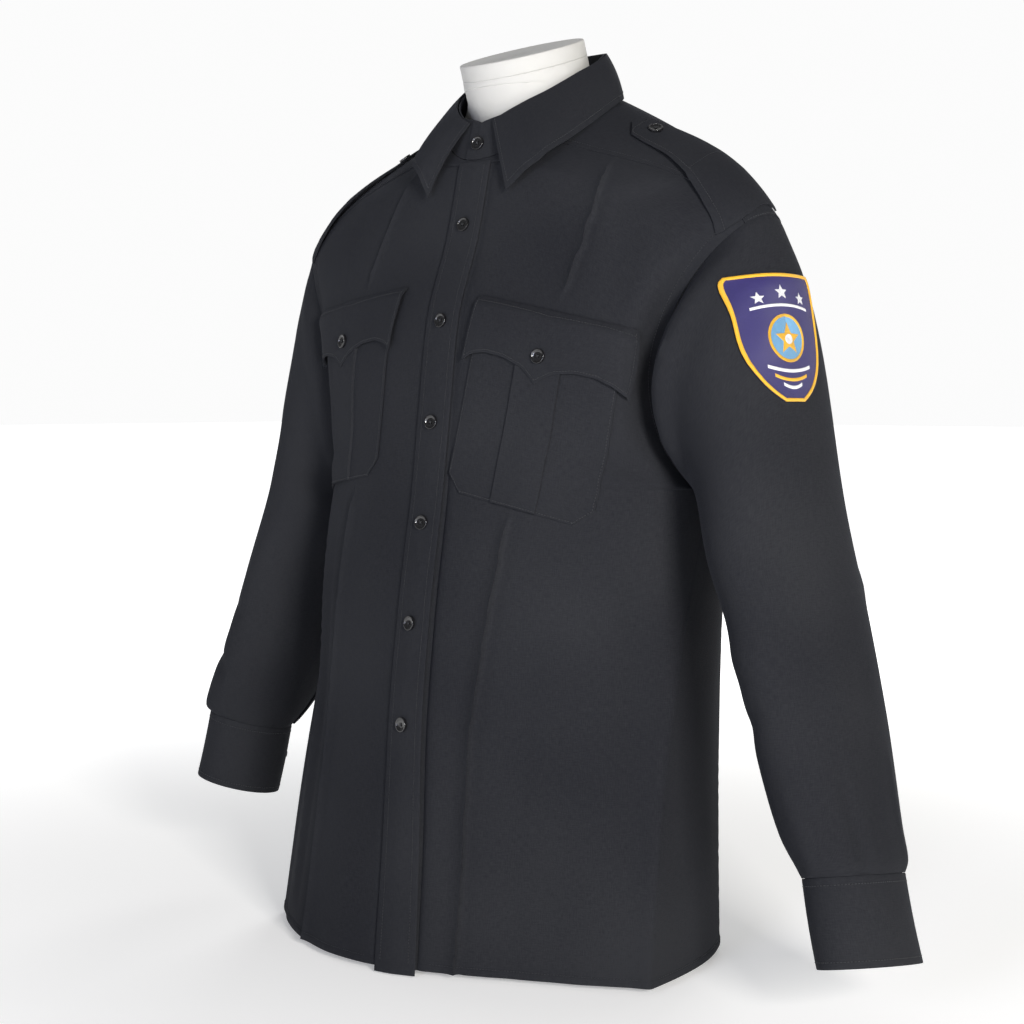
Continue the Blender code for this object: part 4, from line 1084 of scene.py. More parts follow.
# %% [markdown]
# Placket, pockets, flaps and straps are laid on the finished panels and
# topstitched. Each is settled on the cloth beneath it point by point, so it
# follows every fold there. Drawing them flat and bending them would be
# shorter, but they would cut through the folds.
# %% Laying pieces on the panels
EDGE_ROLL = 0.35 * MM
stitch_rows = {}


def add_stitches(group, points, away):
    """Remember a row of topstitching: its line and where it looks to."""
    away = np.broadcast_to(away, np.shape(points))
    stitch_rows.setdefault(group, []).append((np.array(points), np.array(away)))


def laid_grid(surface, middle, away, across, down, depths, widths):
    """Points of a laid piece; widths(b) gives the places across at depth b."""
    flat = [[middle + across * a + down * b for a in widths(b)] for b in depths]
    return settle_grid(surface, flat, away)


def raise_grid(grid, away, rise, wall):
    """Outer face of a laid piece, its pressed edges rolled down a little."""
    normals = grid_normals(grid, np.broadcast_to(away, grid.shape))
    lift = np.zeros(grid.shape[:2]) + rise
    lift[(0, -1), :] -= EDGE_ROLL
    lift[:, (0, -1)] -= EDGE_ROLL
    return grid + normals * (LAID_ON + wall + lift)[..., None], normals


def lay(name, grid, away, rise, wall, finish=None):
    outer, normals = raise_grid(grid, away, rise, wall)
    looks = np.broadcast_to(away, outer.shape)
    piece = cloth_piece(name, [outer], wall, finish or CLOTH_FINISH, [looks])
    declare(piece, name, [outer])
    return outer, normals


def edge_places(half, inset=0.8 * MM, stitch=2.0 * MM, count=9):
    """Places across a piece: close together at its stitched edges."""
    inner = np.linspace(-half + 2.2 * stitch, half - 2.2 * stitch, count)
    side = np.array((half, half - inset, half - stitch, half - 1.5 * stitch))
    return np.concatenate((-side, inner, side[::-1]))


# %% Buttonhole placket
PLACKET_WIDTH = 0.038
PLACKET_STITCH = 6.0 * MM
BUTTON_HEIGHTS = (0.661, 0.573, 0.482, 0.393, 0.305, 0.217)


def build_placket():
    """Band over the centre front; it bows out softly between its buttons."""
    half = PLACKET_WIDTH / 2
    inner = np.linspace(-half + 8 * MM, half - 8 * MM, 5)
    side = np.array((half, half - 0.8 * MM, half - 3 * MM, half - PLACKET_STITCH))
    halves = np.concatenate((-side, inner, side[::-1]))
    rows = np.concatenate(((0.0, 0.03, 0.06, 0.1), np.arange(0.16, 7.95, 0.08), (8.0,)))
    flat = []
    for row in rows:
        z = middle_line(row)[2] - (2.5 * MM if row == rows[-1] else 0.0)
        flat.append([np.array((x, -0.1, z)) for x in halves])
    away = np.array((0.0, -1.0, 0.0))
    grid = settle_grid(fronts, flat, away)
    below = grid[0] + np.array((0.0, -0.4 * MM, -4.4 * MM))
    grid = np.concatenate((below[None], grid))
    z = grid[:, 0, 2]
    gap = np.abs(z[:, None] - np.array(BUTTON_HEIGHTS)).min(axis=1)
    bow = 0.7 * MM * np.clip(gap / (44 * MM), 0.0, 1.0)
    bow = bow[:, None] * np.cos(halves / half * 1.5)
    free = np.interp(z, (0.0, 0.30, 0.42, 0.50), (1.2 * MM, 1.4 * MM, 1.0 * MM, 0.0))
    bow += free[:, None] * np.clip(halves / half, 0.0, 1.0) ** 2
    outer, normals = lay("placket_band", grid, away, bow, DOUBLE_CLOTH)
    for column in (3, -4):
        add_stitches("front_stitching", outer[3:-1, column], normals[3:-1, column])
    return outer


placket = build_placket()

# %% [markdown]
# A uniform pocket is cut with a box pleat down its middle and cut corners at
# the bottom. Its flap is two layers of cloth with three points, buttoned in
# the middle, and it stands off the pocket because the pleat is thick.
# %% Chest pockets and their flaps
PocketPlace = namedtuple("PocketPlace", "side x z droop lean")
POCKETS = (PocketPlace(1, 0.110, 0.539, 11.0, 10.0), PocketPlace(-1, 0.138, 0.557, 5.0, -2.5))
POCKET_HALF = 0.0715
POCKET_TOP = -0.030
POCKET_BOTTOM = 0.133
POCKET_CUT = 0.015
PLEAT_HALF = 0.022
FLAP_HALF = 0.078
FLAP_TOP = -0.041
FLAP_RISE = 0.0036
FLAP_EDGE = np.array((
    (0.00, 0.0240), (0.06, 0.0200), (0.20, 0.0125), (0.45, 0.0075),
    (0.70, 0.0070), (0.88, 0.0110), (1.00, 0.0185),
))


def pocket_frame(place):
    """Middle of a pocket at its flap button, and its directions there."""
    middle, away = settle(fronts, np.array((place.side * place.x, -0.08, place.z)), (0.0, -1.0, 0.0))
    away = unit(away if away[1] < 0 else -away)
    droop = math.radians(place.droop)
    lean = math.radians(place.lean)
    across = np.array((place.side * math.cos(droop), 0.0, -math.sin(droop)))
    down = np.array((-place.side * math.sin(lean), 0.0, -math.cos(lean)))
    across = unit(across - away * float(np.dot(across, away)))
    down = unit(down - away * float(np.dot(down, away)))
    return middle, away, across, down


def build_pocket(frame_here, name):
    middle, away, across, down = frame_here
    depths = np.concatenate((
        np.linspace(POCKET_TOP, POCKET_BOTTOM - POCKET_CUT, 34),
        np.linspace(POCKET_BOTTOM - POCKET_CUT, POCKET_BOTTOM - 2.4 * MM, 6)[1:],
        (POCKET_BOTTOM - 1.8 * MM, POCKET_BOTTOM - 0.8 * MM, POCKET_BOTTOM),
    ))
    inner = np.linspace(-PLEAT_HALF, PLEAT_HALF, 9)

    def widths(b):
        half = POCKET_HALF - max(0.0, b - (POCKET_BOTTOM - POCKET_CUT))
        side = np.concatenate(((half, half - 0.8 * MM, half - 1.8 * MM),
                               np.linspace(half - 4 * MM, PLEAT_HALF + 5 * MM, 8),
                               (PLEAT_HALF + 1.5 * MM, PLEAT_HALF + 0.5 * MM)))
        return np.concatenate((-side, inner, side[::-1]))

    grid = laid_grid(fronts, middle, away, across, down, depths, widths)
    rise = np.zeros(grid.shape[:2])
    share = np.clip((depths - POCKET_TOP) / (POCKET_BOTTOM - POCKET_TOP), 0.0, 1.0)
    full = 2.6 * MM - 0.6 * MM * share
    rise[:, 13:22] = full[:, None]
    rise[:, 12:14] += 0.3 * MM
    rise[:, 11:13] = 0.0
    rise[-1] = np.minimum(rise[-1], 1.4 * MM)
    outer, normals = lay(name, grid, away, rise, CLOTH)
    for column in (2, -3):
        add_stitches("pocket_stitching", outer[:, column], normals[:, column])
    add_stitches("pocket_stitching", outer[-3, 2:-2], normals[-3, 2:-2])
    return outer


def build_flap(place, frame_here, name):
    middle, away, across, down = frame_here
    shares = np.concatenate((
        (-1.0, -0.99, -0.975), np.linspace(-0.95, -0.05, 20), (-0.015, 0.0, 0.015),
        np.linspace(0.05, 0.95, 20), (0.975, 0.99, 1.0),
    ))
    levels = np.concatenate(((0.0, 0.025, 0.05, 0.09, 0.14), np.linspace(0.2, 0.9, 10), (0.95, 0.975, 1.0)))
    flat = []
    for level in levels:
        line = []
        for share in shares:
            end = float(np.interp(abs(share), FLAP_EDGE[:, 0], FLAP_EDGE[:, 1]))
            b = FLAP_TOP + (end - FLAP_TOP) * level
            line.append(middle + across * share * FLAP_HALF + down * b)
        flat.append(line)
    grid = settle_grid(fronts, flat, away)
    rise = FLAP_RISE * np.clip(levels / 0.14, 0.0, 1.0)[:, None] + np.zeros(grid.shape[:2])
    corner = 2.6 * MM if place.side > 0 else 6.0 * MM
    lifted = np.clip((shares - 0.45) / 0.55, 0.0, 1.0) ** 2 * corner
    rise += lifted * np.clip(levels - 0.35, 0.0, 1.0)[:, None]
    rise += 1.2 * MM * np.clip((-shares - 0.6) / 0.4, 0.0, 1.0) ** 2 * np.clip(levels - 0.5, 0.0, 1.0)[:, None]
    outer, normals = lay(name, grid, away, rise, DOUBLE_CLOTH)
    add_stitches("pocket_stitching", outer[-3, 2:-2], normals[-3, 2:-2])
    add_stitches("pocket_stitching", outer[3, 2:-2], normals[3, 2:-2])
    for column in (2, -3):
        add_stitches("pocket_stitching", outer[2:-2, column], normals[2:-2, column])
    return outer


flaps = {}
for place in POCKETS:
    word = "left" if place.side > 0 else "right"
    frame_here = pocket_frame(place)
    build_pocket(frame_here, "pocket_" + word)
    flaps[place.side] = build_flap(place, frame_here, "flap_" + word)

# %% [markdown]
# The shoulder strap is a double layer of cloth sewn into the armhole seam and
# buttoned near the collar. A box of stitching with a cross holds it down.
# %% Shoulder straps
StrapRow = namedtuple("StrapRow", "x y half rise")
STRAP = np.array((
    StrapRow(0.1290, 0.0270, 0.0040, 0.0012),
    StrapRow(0.1400, 0.0260, 0.0185, 0.0010),
    StrapRow(0.1550, 0.0250, 0.0200, 0.0008),
    StrapRow(0.1850, 0.0230, 0.0220, 0.0026),
    StrapRow(0.2100, 0.0205, 0.0250, 0.0034),
    StrapRow(0.2300, 0.0185, 0.0270, 0.0030),
    StrapRow(0.2500, 0.0165, 0.0285, 0.0014),
    StrapRow(0.2655, 0.0160, 0.0290, 0.0001),
))
shoulders = surface_of(front_left, front_right, *yoke, sleeve_left, sleeve_right)


def build_strap(side, name):
    steps = np.concatenate(((0.0, 0.03, 0.06), np.linspace(0.0805, 0.97, 40), (0.985, 1.0)))
    shares = np.concatenate(((-1.0, -0.97, -0.92, -0.86), np.linspace(-0.75, 0.75, 9), (0.86, 0.92, 0.97, 1.0)))
    front = front_left if side > 0 else front_right
    half_yoke = yoke[0] if side > 0 else yoke[1]
    seam = np.concatenate((front[FRONT_ROWS > ROW_YOKE_FRONT - 1.5, -1], half_yoke[:, -1]))
    seam = seam[np.argsort(seam[:, 1])]
    flat = []
    rises = []
    for step in steps:
        x = STRAP[0, 0] + (STRAP[-1, 0] - STRAP[0, 0]) * step
        y, half, rise = (float(np.interp(x, STRAP[:, 0], STRAP[:, k])) for k in (1, 2, 3))
        row = []
        for share in shares:
            end = float(np.interp(y + share * half, seam[:, 1], np.abs(seam[:, 0]))) - 2.5 * MM
            reach = STRAP[0, 0] + (min(end, STRAP[-1, 0]) - STRAP[0, 0]) * step
            row.append(np.array((side * reach, y + share * half, 0.74)))
        flat.append(row)
        rises.append(rise)
    grid = settle_grid(shoulders, flat, (0.0, 0.0, 1.0))
    away = unit(np.array((0.45 * side, 0.0, 0.9)))
    outer, normals = lay(name, grid, away, np.array(rises)[:, None], DOUBLE_CLOTH)
    for column in (3, -4):
        add_stitches("strap_stitching", outer[2:, column], normals[2:, column])
    add_stitches("strap_stitching", outer[2, 3:-3], normals[2, 3:-3])
    cross = len(steps) // 2 + 4
    add_stitches("strap_stitching", outer[cross, 3:-3], normals[cross, 3:-3])
    return outer


straps = {side: build_strap(side, "strap_" + word) for side, word in ((1, "left"), (-1, "right"))}

# %% [markdown]
# The cuff is a stiffened band whose end laps over its start and buttons at
# the back of the wrist. Above it, a placket edges the slit that lets the
# hand through; it has one small button of its own.
# %% Cuffs and sleeve plackets
CUFF_START = -104.0
CUFF_OVERLAP = 22.0
LAP_LIFT = 0.0024
SLIT_TURN = -112.0
SLIT_WIDTH = 0.026
SLIT_LENGTH = 0.155


def build_cuff(side, name):
    rings = LEFT_SLEEVE if side > 0 else RIGHT_SLEEVE
    bottom = np.array((LEFT_CUFF_END if side > 0 else RIGHT_CUFF_END)[1:])
    top = np.array(rings[-1][1:])
    end = CUFF_START + 360.0 + CUFF_OVERLAP
    turns = np.concatenate(((CUFF_START, CUFF_START + 1.0, CUFF_START + 5.0),
                            np.linspace(CUFF_START + 8.0, end - 8.0, 104), (end - 5.0, end - 1.0, end)))
    shares = np.concatenate(((0.004, 0.018, 0.06, 0.09), np.linspace(0.13, 0.88, 12), (0.92, 0.94, 0.985, 1.0)))
    beyond = (turns - CUFF_START - 360.0 + 50.0) / 50.0
    lap = LAP_LIFT * np.clip(beyond, 0.0, 1.0)
    lap[turns > end - 2.0] -= EDGE_ROLL
    grid = []
    aways = []
    for share in shares:
        ring = top + (bottom - top) * share
        points = ring_points(ring, turns)
        middle = (ring_points(ring, np.array((0.0, 180.0)))).mean(axis=0)
        out = unit(points - middle)
        roll = EDGE_ROLL if share in (shares[0], shares[-1]) else 0.0
        belly = 0.9 * MM * math.sin(math.pi * share) * np.sin(np.radians(turns) * 3.0 + 0.8)
        grid.append((points + out * (lap - roll + belly)[:, None]) * np.array((side, 1.0, 1.0)))
        aways.append(out * np.array((side, 1.0, 1.0)))
    outer = np.array(grid)
    aways = np.array(aways)
    piece = cloth_piece(name, [outer], DOUBLE_CLOTH, CLOTH_FINISH, [aways])
    declare(piece, name, [outer])
    normals = grid_normals(outer, aways)
    for row in (3, -4):
        add_stitches("cuff_stitching", outer[row, 2:-2], normals[row, 2:-2])
    add_stitches("cuff_stitching", outer[3:-3, -3], normals[3:-3, -3])
    return outer


def build_slit(side, surface, name):
    low, high = sleeve_rows(side, (0.985, 0.62), np.array((SLIT_TURN, 0.0, 180.0)))
    away = unit((low[0] - (low[1] + low[2]) / 2) * np.array((1.0, 1.0, 0.0)))
    up = unit(high[0] - low[0])
    across = unit(np.cross(up, away))
    depths = np.concatenate((np.linspace(4 * MM, SLIT_LENGTH - 4 * MM, 26),
                             (SLIT_LENGTH - 2 * MM, SLIT_LENGTH - 0.8 * MM, SLIT_LENGTH)))
    places = edge_places(SLIT_WIDTH / 2, count=6)
    grid = laid_grid(surface, low[0], away, across, up, depths, lambda b: places)
    outer, normals = lay(name, grid, away, 0.0, CLOTH)
    for column in (2, -3):
        add_stitches("cuff_stitching", outer[:-2, column], normals[:-2, column])
    add_stitches("cuff_stitching", outer[-3, 2:-2], normals[-3, 2:-2])
    return outer


cuffs = {}
slits = {}
for side, word, grid in ((1, "left", sleeve_left), (-1, "right", sleeve_right)):
    cuffs[side] = build_cuff(side, "cuff_" + word)
    slits[side] = build_slit(side, surface_of(grid), "sleeve_placket_" + word)

# %% [markdown]
# The collar has two parts: a stand that closes round the neck with a button,
# and a leaf that folds down over it to two points. Both are stiffened, so
# the leaf rolls in one clean curve and keeps its straight stitched edge.
# %% Collar
CollarRow = namedtuple("CollarRow", "turn fold_x fold_y fold_z edge_x edge_y edge_z")
COLLAR = (
    CollarRow(0.0, 0.013, -0.0350, 0.758, 0.0480, -0.0570, 0.690),
    CollarRow(18.0, 0.026, -0.0310, 0.765, 0.0660, -0.0570, 0.7035),
    CollarRow(36.0, 0.040, -0.0220, 0.774, 0.0850, -0.0510, 0.7175),
    CollarRow(60.0, 0.055, -0.0050, 0.786, 0.0960, -0.0220, 0.737),
    CollarRow(85.0, 0.064, 0.0180, 0.801, 0.1010, 0.0120, 0.758),
    CollarRow(110.0, 0.066, 0.0450, 0.815, 0.0980, 0.0460, 0.776),
    CollarRow(145.0, 0.050, 0.0840, 0.832, 0.0660, 0.0860, 0.789),
    CollarRow(180.0, 0.000, 0.1080, 0.838, 0.0000, 0.1260, 0.792),
)
STAND_LAP = 10.0
STAND_APART = 0.0012
STAND_GAP = 0.0006
LEAF_STITCH = 5.5 * MM
FAR_LEAF_TUCK = np.array((-11 * MM, 0.0, 6 * MM))


def stand_line(side, turn):
    """One upright line of the stand; its left end laps over the right."""
    fold = table_values(COLLAR, abs(turn))[:3]
    base = neckline(abs(turn))
    flip = -1.0 if turn < 0 else 1.0
    lap = max(0.0, 1.0 - (turn + STAND_LAP) / 30.0)
    apart = np.array((0.0, -side * STAND_APART * lap, STAND_GAP))
    top = fold + np.array((0.0, 0.0, -1.5 * MM))
    top[0] = fold[0] * min(1.0, abs(turn) / 18.0)
    mirror = np.array((side * flip, 1.0, 1.0))
    return [(base + (top - base) * share) * mirror + apart for share in np.linspace(0.0, 1.0, 11)]


def leaf_line(side, turn):
    base = neckline(turn)
    row = table_values(COLLAR, turn)
    fold, edge = row[:3], row[3:]
    if side < 0:
        share = float(np.interp(turn, (0.0, 25.0, 100.0, 150.0), (0.0, 1.0, 1.0, 0.0)))
        edge = edge + share * FAR_LEAF_TUCK
    outward = unit(np.array((edge[0] - base[0] * 0.6, edge[1] - NECK_MIDDLE_Y, 0.0)))
    start = fold + outward * 2.2 * MM
    bulge = (start + edge) / 2 + outward * 6 * MM + np.array((0.0, 0.0, 4 * MM))
    length = float(np.linalg.norm(edge - start))
    inset = LEAF_STITCH / length
    shares = np.concatenate((np.linspace(0.0, 1.0 - 1.6 * inset, 12), (1.0 - inset, 1.0 - 0.16 * inset, 1.0)))
    mirror = np.array((side, 1.0, 1.0))
    points = []
    for share in shares:
        point = (1 - share) ** 2 * start + 2 * share * (1 - share) * bulge + share**2 * edge
        points.append(point * mirror)
    return points, outward * mirror


def build_collar():
    turns = np.concatenate(((0.0, 0.6), np.linspace(3.4, 180.0, 60)))
    lap_turns = np.concatenate((np.linspace(-STAND_LAP, -1.0, 5), turns))
    stand = []
    for side, order in ((-1, lap_turns), (1, lap_turns[-2::-1])):
        stand.extend(stand_line(side, turn) for turn in order)
    stand = np.array(stand)
    away = (stand - np.array((0.0, NECK_MIDDLE_Y, 0.0))) * np.array((1.0, 1.0, 0.0))
    piece = cloth_piece("collar_stand", [stand], DOUBLE_CLOTH, CLOTH_FINISH, [away])
    declare(piece, "collar_stand", [stand])
    leaf = []
    outs = []
    for side, order in ((-1, turns), (1, turns[-2::-1])):
        for turn in order:
            points, out = leaf_line(side, turn)
            leaf.append(points)
            outs.append([out] * len(points))
    leaf = np.array(leaf)
    outs = np.array(outs)
    piece = cloth_piece("collar_leaf", [leaf], DOUBLE_CLOTH, CLOTH_FINISH, [outs])
    declare(piece, "collar_leaf", [leaf])
    normals = grid_normals(leaf, outs)
    add_stitches("collar_stitching", leaf[2:-2, -3], normals[2:-2, -3])
    for row in (2, -3):
        add_stitches("collar_stitching", leaf[row, :-2], normals[row, :-2])
    return stand, leaf


collar_stand, collar_leaf = build_collar()

# %% [markdown]
# Shirt buttons are turned from cast polyester: a flat disc with a raised rim,
# a dished middle and four holes, sewn on with a cross of black thread. One is
# modelled here and the others are copies of it, each set flat on its cloth.
# %% One four-hole button
BUTTON_RADIUS = 6.5 * MM
BUTTON_THICK = 2.6 * MM
HOLE_RADIUS = 0.75 * MM
HOLE_APART = 1.45 * MM


def select_top(mesh, height):
    """Select the faces of a mesh whose middle lies above a height."""
    bpy.ops.mesh.select_all(action="DESELECT")
    bpy.ops.object.mode_set(mode="OBJECT")
    for face in mesh.polygons:
        face.select = face.center.z > height and face.normal.z > 0.9
    bpy.ops.object.mode_set(mode="EDIT")


bpy.ops.mesh.primitive_cylinder_add(vertices=40, radius=BUTTON_RADIUS, depth=BUTTON_THICK,
                                    location=(0.0, 0.0, BUTTON_THICK / 2))
button = bpy.context.object
button.name = "button_master"
bpy.ops.object.transform_apply(location=True, rotation=True, scale=True)
bpy.ops.object.mode_set(mode="EDIT")
bpy.ops.mesh.select_mode(type="FACE")
select_top(button.data, BUTTON_THICK * 0.9)
bpy.ops.mesh.inset(thickness=1.1 * MM)
bpy.ops.mesh.inset(thickness=0.6 * MM)
bpy.ops.transform.translate(value=(0.0, 0.0, -0.8 * MM))
bpy.ops.mesh.inset(thickness=1.4 * MM)
bpy.ops.transform.translate(value=(0.0, 0.0, -0.25 * MM))
bpy.ops.object.mode_set(mode="OBJECT")
bevel = button.modifiers.new("soft_edges", "BEVEL")
bevel.width = 0.35 * MM
bevel.segments = 3
bevel.limit_method = "ANGLE"
bpy.ops.object.modifier_apply(modifier=bevel.name)
for k in range(4):
    angle = math.radians(45.0 + 90.0 * k)
    spot = (HOLE_APART * math.cos(angle), HOLE_APART * math.sin(angle), BUTTON_THICK / 2)
    bpy.ops.mesh.primitive_cylinder_add(vertices=14, radius=HOLE_RADIUS, depth=4 * BUTTON_THICK, location=spot)
    drill = bpy.context.object
    bpy.context.view_layer.objects.active = button
    hole = button.modifiers.new("hole", "BOOLEAN")
    hole.operation = "DIFFERENCE"
    hole.solver = "EXACT"
    hole.object = drill
    bpy.ops.object.modifier_apply(modifier=hole.name)
    bpy.data.objects.remove(drill, do_unlink=True)
bpy.ops.object.select_all(action="DESELECT")
button.select_set(True)
bpy.context.view_layer.objects.active = button
bpy.ops.object.shade_smooth_by_angle(angle=math.radians(35.0))
button.data.materials.clear()
button.data.materials.append(BUTTON_FINISH)
print("button faces:", len(button.data.polygons))

# %% Thread across the button's holes
bpy.ops.object.select_all(action="DESELECT")
strands = []
for turn, lift in ((45.0, 0.0), (135.0, 0.22 * MM)):
    for shift in (-0.22 * MM, 0.22 * MM):
        angle = math.radians(turn)
        bpy.ops.mesh.primitive_cylinder_add(
            vertices=8, radius=0.24 * MM, depth=2.0 * HOLE_APART,
            location=(-shift * math.sin(angle), shift * math.cos(angle), BUTTON_THICK - 0.62 * MM + lift),
            rotation=(0.0, math.radians(90.0), angle))
        strands.append(bpy.context.object)
for strand in strands:
    strand.select_set(True)
bpy.context.view_layer.objects.active = strands[0]
bpy.ops.object.join()
bpy.ops.object.transform_apply(location=True, rotation=True, scale=True)
button_thread = bpy.context.object
button_thread.name = "button_thread_master"
bpy.ops.object.shade_smooth_by_angle(angle=math.radians(60.0))
button_thread.data.materials.clear()
button_thread.data.materials.append(SEWING_FINISH)
bpy.ops.object.select_all(action="DESELECT")

# %% All the buttons, each on the cloth that carries it
FACE_OUT = Vector((0.0, -1.0, 0.0))
FACE_UP = Vector((0.0, 0.0, 1.0))
FACE_BACK = Vector((0.0, 1.0, 0.0))


def node_points(name):
    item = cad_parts[name]
    return np.array([item.matrix_world @ vertex.co for vertex in item.data.vertices])


def seat(name, surface, facing):
    """Matrix that sets a button on the cloth under its packed place."""
    points = node_points(name)
    middle = points.mean(axis=0)
    _, _, axes = np.linalg.svd(points - middle)
    out = Vector(axes[2])
    out = out if out.dot(facing) > 0.0 else -out
    place, _ = settle(surface, middle, out)
    turn = FACE_UP.rotation_difference(out).to_matrix().to_4x4()
    return Matrix.Translation(Vector(place) + out * 0.15 * MM) @ turn, out


def place_copy(master, name, matrix):
    mesh = master.data.copy()
    mesh.transform(matrix)
    mesh.update()
    item = bpy.data.objects.new(name, mesh)
    bpy.context.scene.collection.objects.link(item)
    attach(item, "root")
    return item


carried = {"button_collar": (surface_of(collar_stand), FACE_OUT)}
placket_surface = surface_of(placket)
for number in range(1, 7):
    carried["button_front_%d" % number] = (placket_surface, FACE_OUT)
for side, word in ((1, "left"), (-1, "right")):
    carried["button_flap_" + word] = (surface_of(flaps[side]), FACE_OUT)
    carried["button_strap_" + word] = (surface_of(straps[side]), FACE_UP)
    carried["button_cuff_" + word] = (surface_of(cuffs[side]), FACE_BACK)
    carried["button_sleeve_placket_" + word] = (surface_of(slits[side]), FACE_BACK)
for name, (surface, look) in carried.items():
    matrix, _ = seat(name, surface, look)
    item = place_copy(button, name + "_turned", matrix)
    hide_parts(name)
    place_copy(button_thread, name + "_thread", matrix)
bpy.data.objects.remove(button, do_unlink=True)
bpy.data.objects.remove(button_thread, do_unlink=True)
print("buttons:", len(carried))

# %% [markdown]
# The sleeve badge is embroidery on twill with a thick merrowed border. Its
# design here is a plain one of stars and bars, like in colour and size but
# standing for no force or city. Every shape is a slightly domed raft of
# satin stitches laid on the badge.
# %% Sleeve badge: field and border
PATCH_MIDDLE = np.array((0.297, 0.006, 0.553))
PATCH_FACING = (0.95, -0.16, 0.20)
PATCH_OUTLINE = np.array((
    (-1.00, 0.90), (-0.93, 0.98), (-0.80, 1.00), (0.00, 1.00), (0.20, 0.98), (0.40, 0.925),
    (0.55, 0.84), (0.70, 0.72), (0.82, 0.58), (0.92, 0.42), (1.00, 0.26),
))
PATCH_HALF_WIDTH = 0.0435
PATCH_HALF_HEIGHT = 0.054
BORDER_WIDTH = 1.5 * MM
patch_away = unit(PATCH_FACING)
patch_across = unit(np.cross((0.0, 0.0, 1.0), patch_away))
patch_down = unit(np.cross(patch_across, patch_away))
patch_down = patch_down if patch_down[2] < 0 else -patch_down
patch_surface = surface_of(sleeve_left)
patch_middle, _ = settle(patch_surface, PATCH_MIDDLE, patch_away)


def badge_point(a, b, lift):
    """Point on the badge, a across and b down in metres, lifted off the sleeve."""
    place, normal = settle(patch_surface, patch_middle + patch_across * a + patch_down * b, patch_away)
    normal = normal if float(np.dot(normal, patch_away)) > 0.0 else -normal
    return place + normal * lift


def badge_half(depth):
    return PATCH_HALF_WIDTH * float(np.interp(depth, PATCH_OUTLINE[:, 0], PATCH_OUTLINE[:, 1]))


def shape_piece(name, rows, lift, thick, finish):
    """Domed raft of stitches from rows of points (a, b) on the badge."""
    rows = np.array(rows, float)
    height, width = rows.shape[:2]
    down_dome = np.sin(math.pi * np.linspace(0.0, 1.0, height)) ** 0.5
    side_dome = np.sin(math.pi * np.linspace(0.0, 1.0, width)) ** 0.5
    dome = np.minimum(down_dome[:, None], side_dome[None, :]) * thick
    grid = np.array([[badge_point(a, b, lift + d) for (a, b), d in zip(line, domes)]
                     for line, domes in zip(rows, dome)])
    piece = cloth_piece(name, [grid], thick * 0.8, finish, [np.broadcast_to(patch_away, grid.shape)])
    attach(piece, "root")
    return piece


badge_lift = LAID_ON + DOUBLE_CLOTH
badge_depths = np.linspace(-1.0, 1.0, 37)
badge_grid = np.array([[badge_point(share * badge_half(depth), depth * PATCH_HALF_HEIGHT, badge_lift)
                        for share in np.linspace(-1.0, 1.0, 29)] for depth in badge_depths])
badge_looks = np.broadcast_to(patch_away, badge_grid.shape)
badge = cloth_piece("sleeve_badge", [badge_grid], DOUBLE_CLOTH, NAVY_FINISH, [badge_looks])
declare(badge, "sleeve_patch", [badge_grid])

rim = [(-badge_half(d), d * PATCH_HALF_HEIGHT) for d in badge_depths]
rim += [(share * badge_half(1.0), PATCH_HALF_HEIGHT) for share in np.linspace(-0.8, 0.8, 5)]
rim += [(badge_half(d), d * PATCH_HALF_HEIGHT) for d in badge_depths[::-1]]
rim += [(share * badge_half(-1.0), -PATCH_HALF_HEIGHT) for share in np.linspace(0.93, -0.93, 27)]
rim = np.array(rim)
inward = unit(np.roll(rim, 1, axis=0) - np.roll(rim, -1, axis=0))[:, ::-1] * np.array((1.0, -1.0))
inward *= np.sign(-np.sum(inward * rim, axis=1, keepdims=True))
border = []
for turn in np.linspace(-100.0, 260.0, 12, endpoint=False):
    angle = math.radians(turn)
    line = rim + inward * BORDER_WIDTH * (0.75 - math.cos(angle))
    border.append([badge_point(a, b, badge_lift + 0.15 * MM + 0.95 * MM * math.sin(angle)) for a, b in line])
border = np.array(border).transpose(1, 0, 2)
border = np.concatenate((border, border[:1]))
looks = border - border.mean(axis=1, keepdims=True)


def tube_piece(name, grid, finish):
    """Closed tube from rings of points; the last ring repeats the first."""
    quads, maps = grid_faces(*grid.shape[:2], True)
    count = grid.shape[1] * (grid.shape[0] - 1)
    quads = quads % count
    u, v = metre_map(grid, wrap=True)
    metres = np.stack((v.ravel(), u.ravel()), axis=1)
    flat = grid[:-1].reshape(-1, 3)
    corners = flat[quads]
    slopes = np.cross(corners[:, 2] - corners[:, 0], corners[:, 3] - corners[:, 1])
    if float(np.sum(slopes * looks[:-1].reshape(-1, 3)[quads[:, 0]])) < 0.0:
        quads = quads[:, ::-1]
        maps = maps[:, ::-1]
    mesh = bpy.data.meshes.new(name)
    mesh.from_pydata(flat.tolist(), [], quads.tolist())
    layer = mesh.uv_layers.new(name="metres")
    layer.data.foreach_set("uv", metres[maps].reshape(-1, 2).astype(np.float32).ravel())
    mesh.materials.append(finish)
    mesh.shade_smooth()
    item = bpy.data.objects.new(name, mesh)
    bpy.context.scene.collection.objects.link(item)
    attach(item, "root")
    return item


tube_piece("sleeve_badge_border", border, GOLD_FINISH)

# %% Sleeve badge: its stars and bars


def disc_rows(a, b, radius, inner=0.0, count=29):
    angles = np.radians(np.linspace(0.0, 360.0, count))
    radii = np.linspace(inner, radius, 7)
    return [[(a + r * math.sin(t), b - r * math.cos(t)) for t in angles] for r in radii]


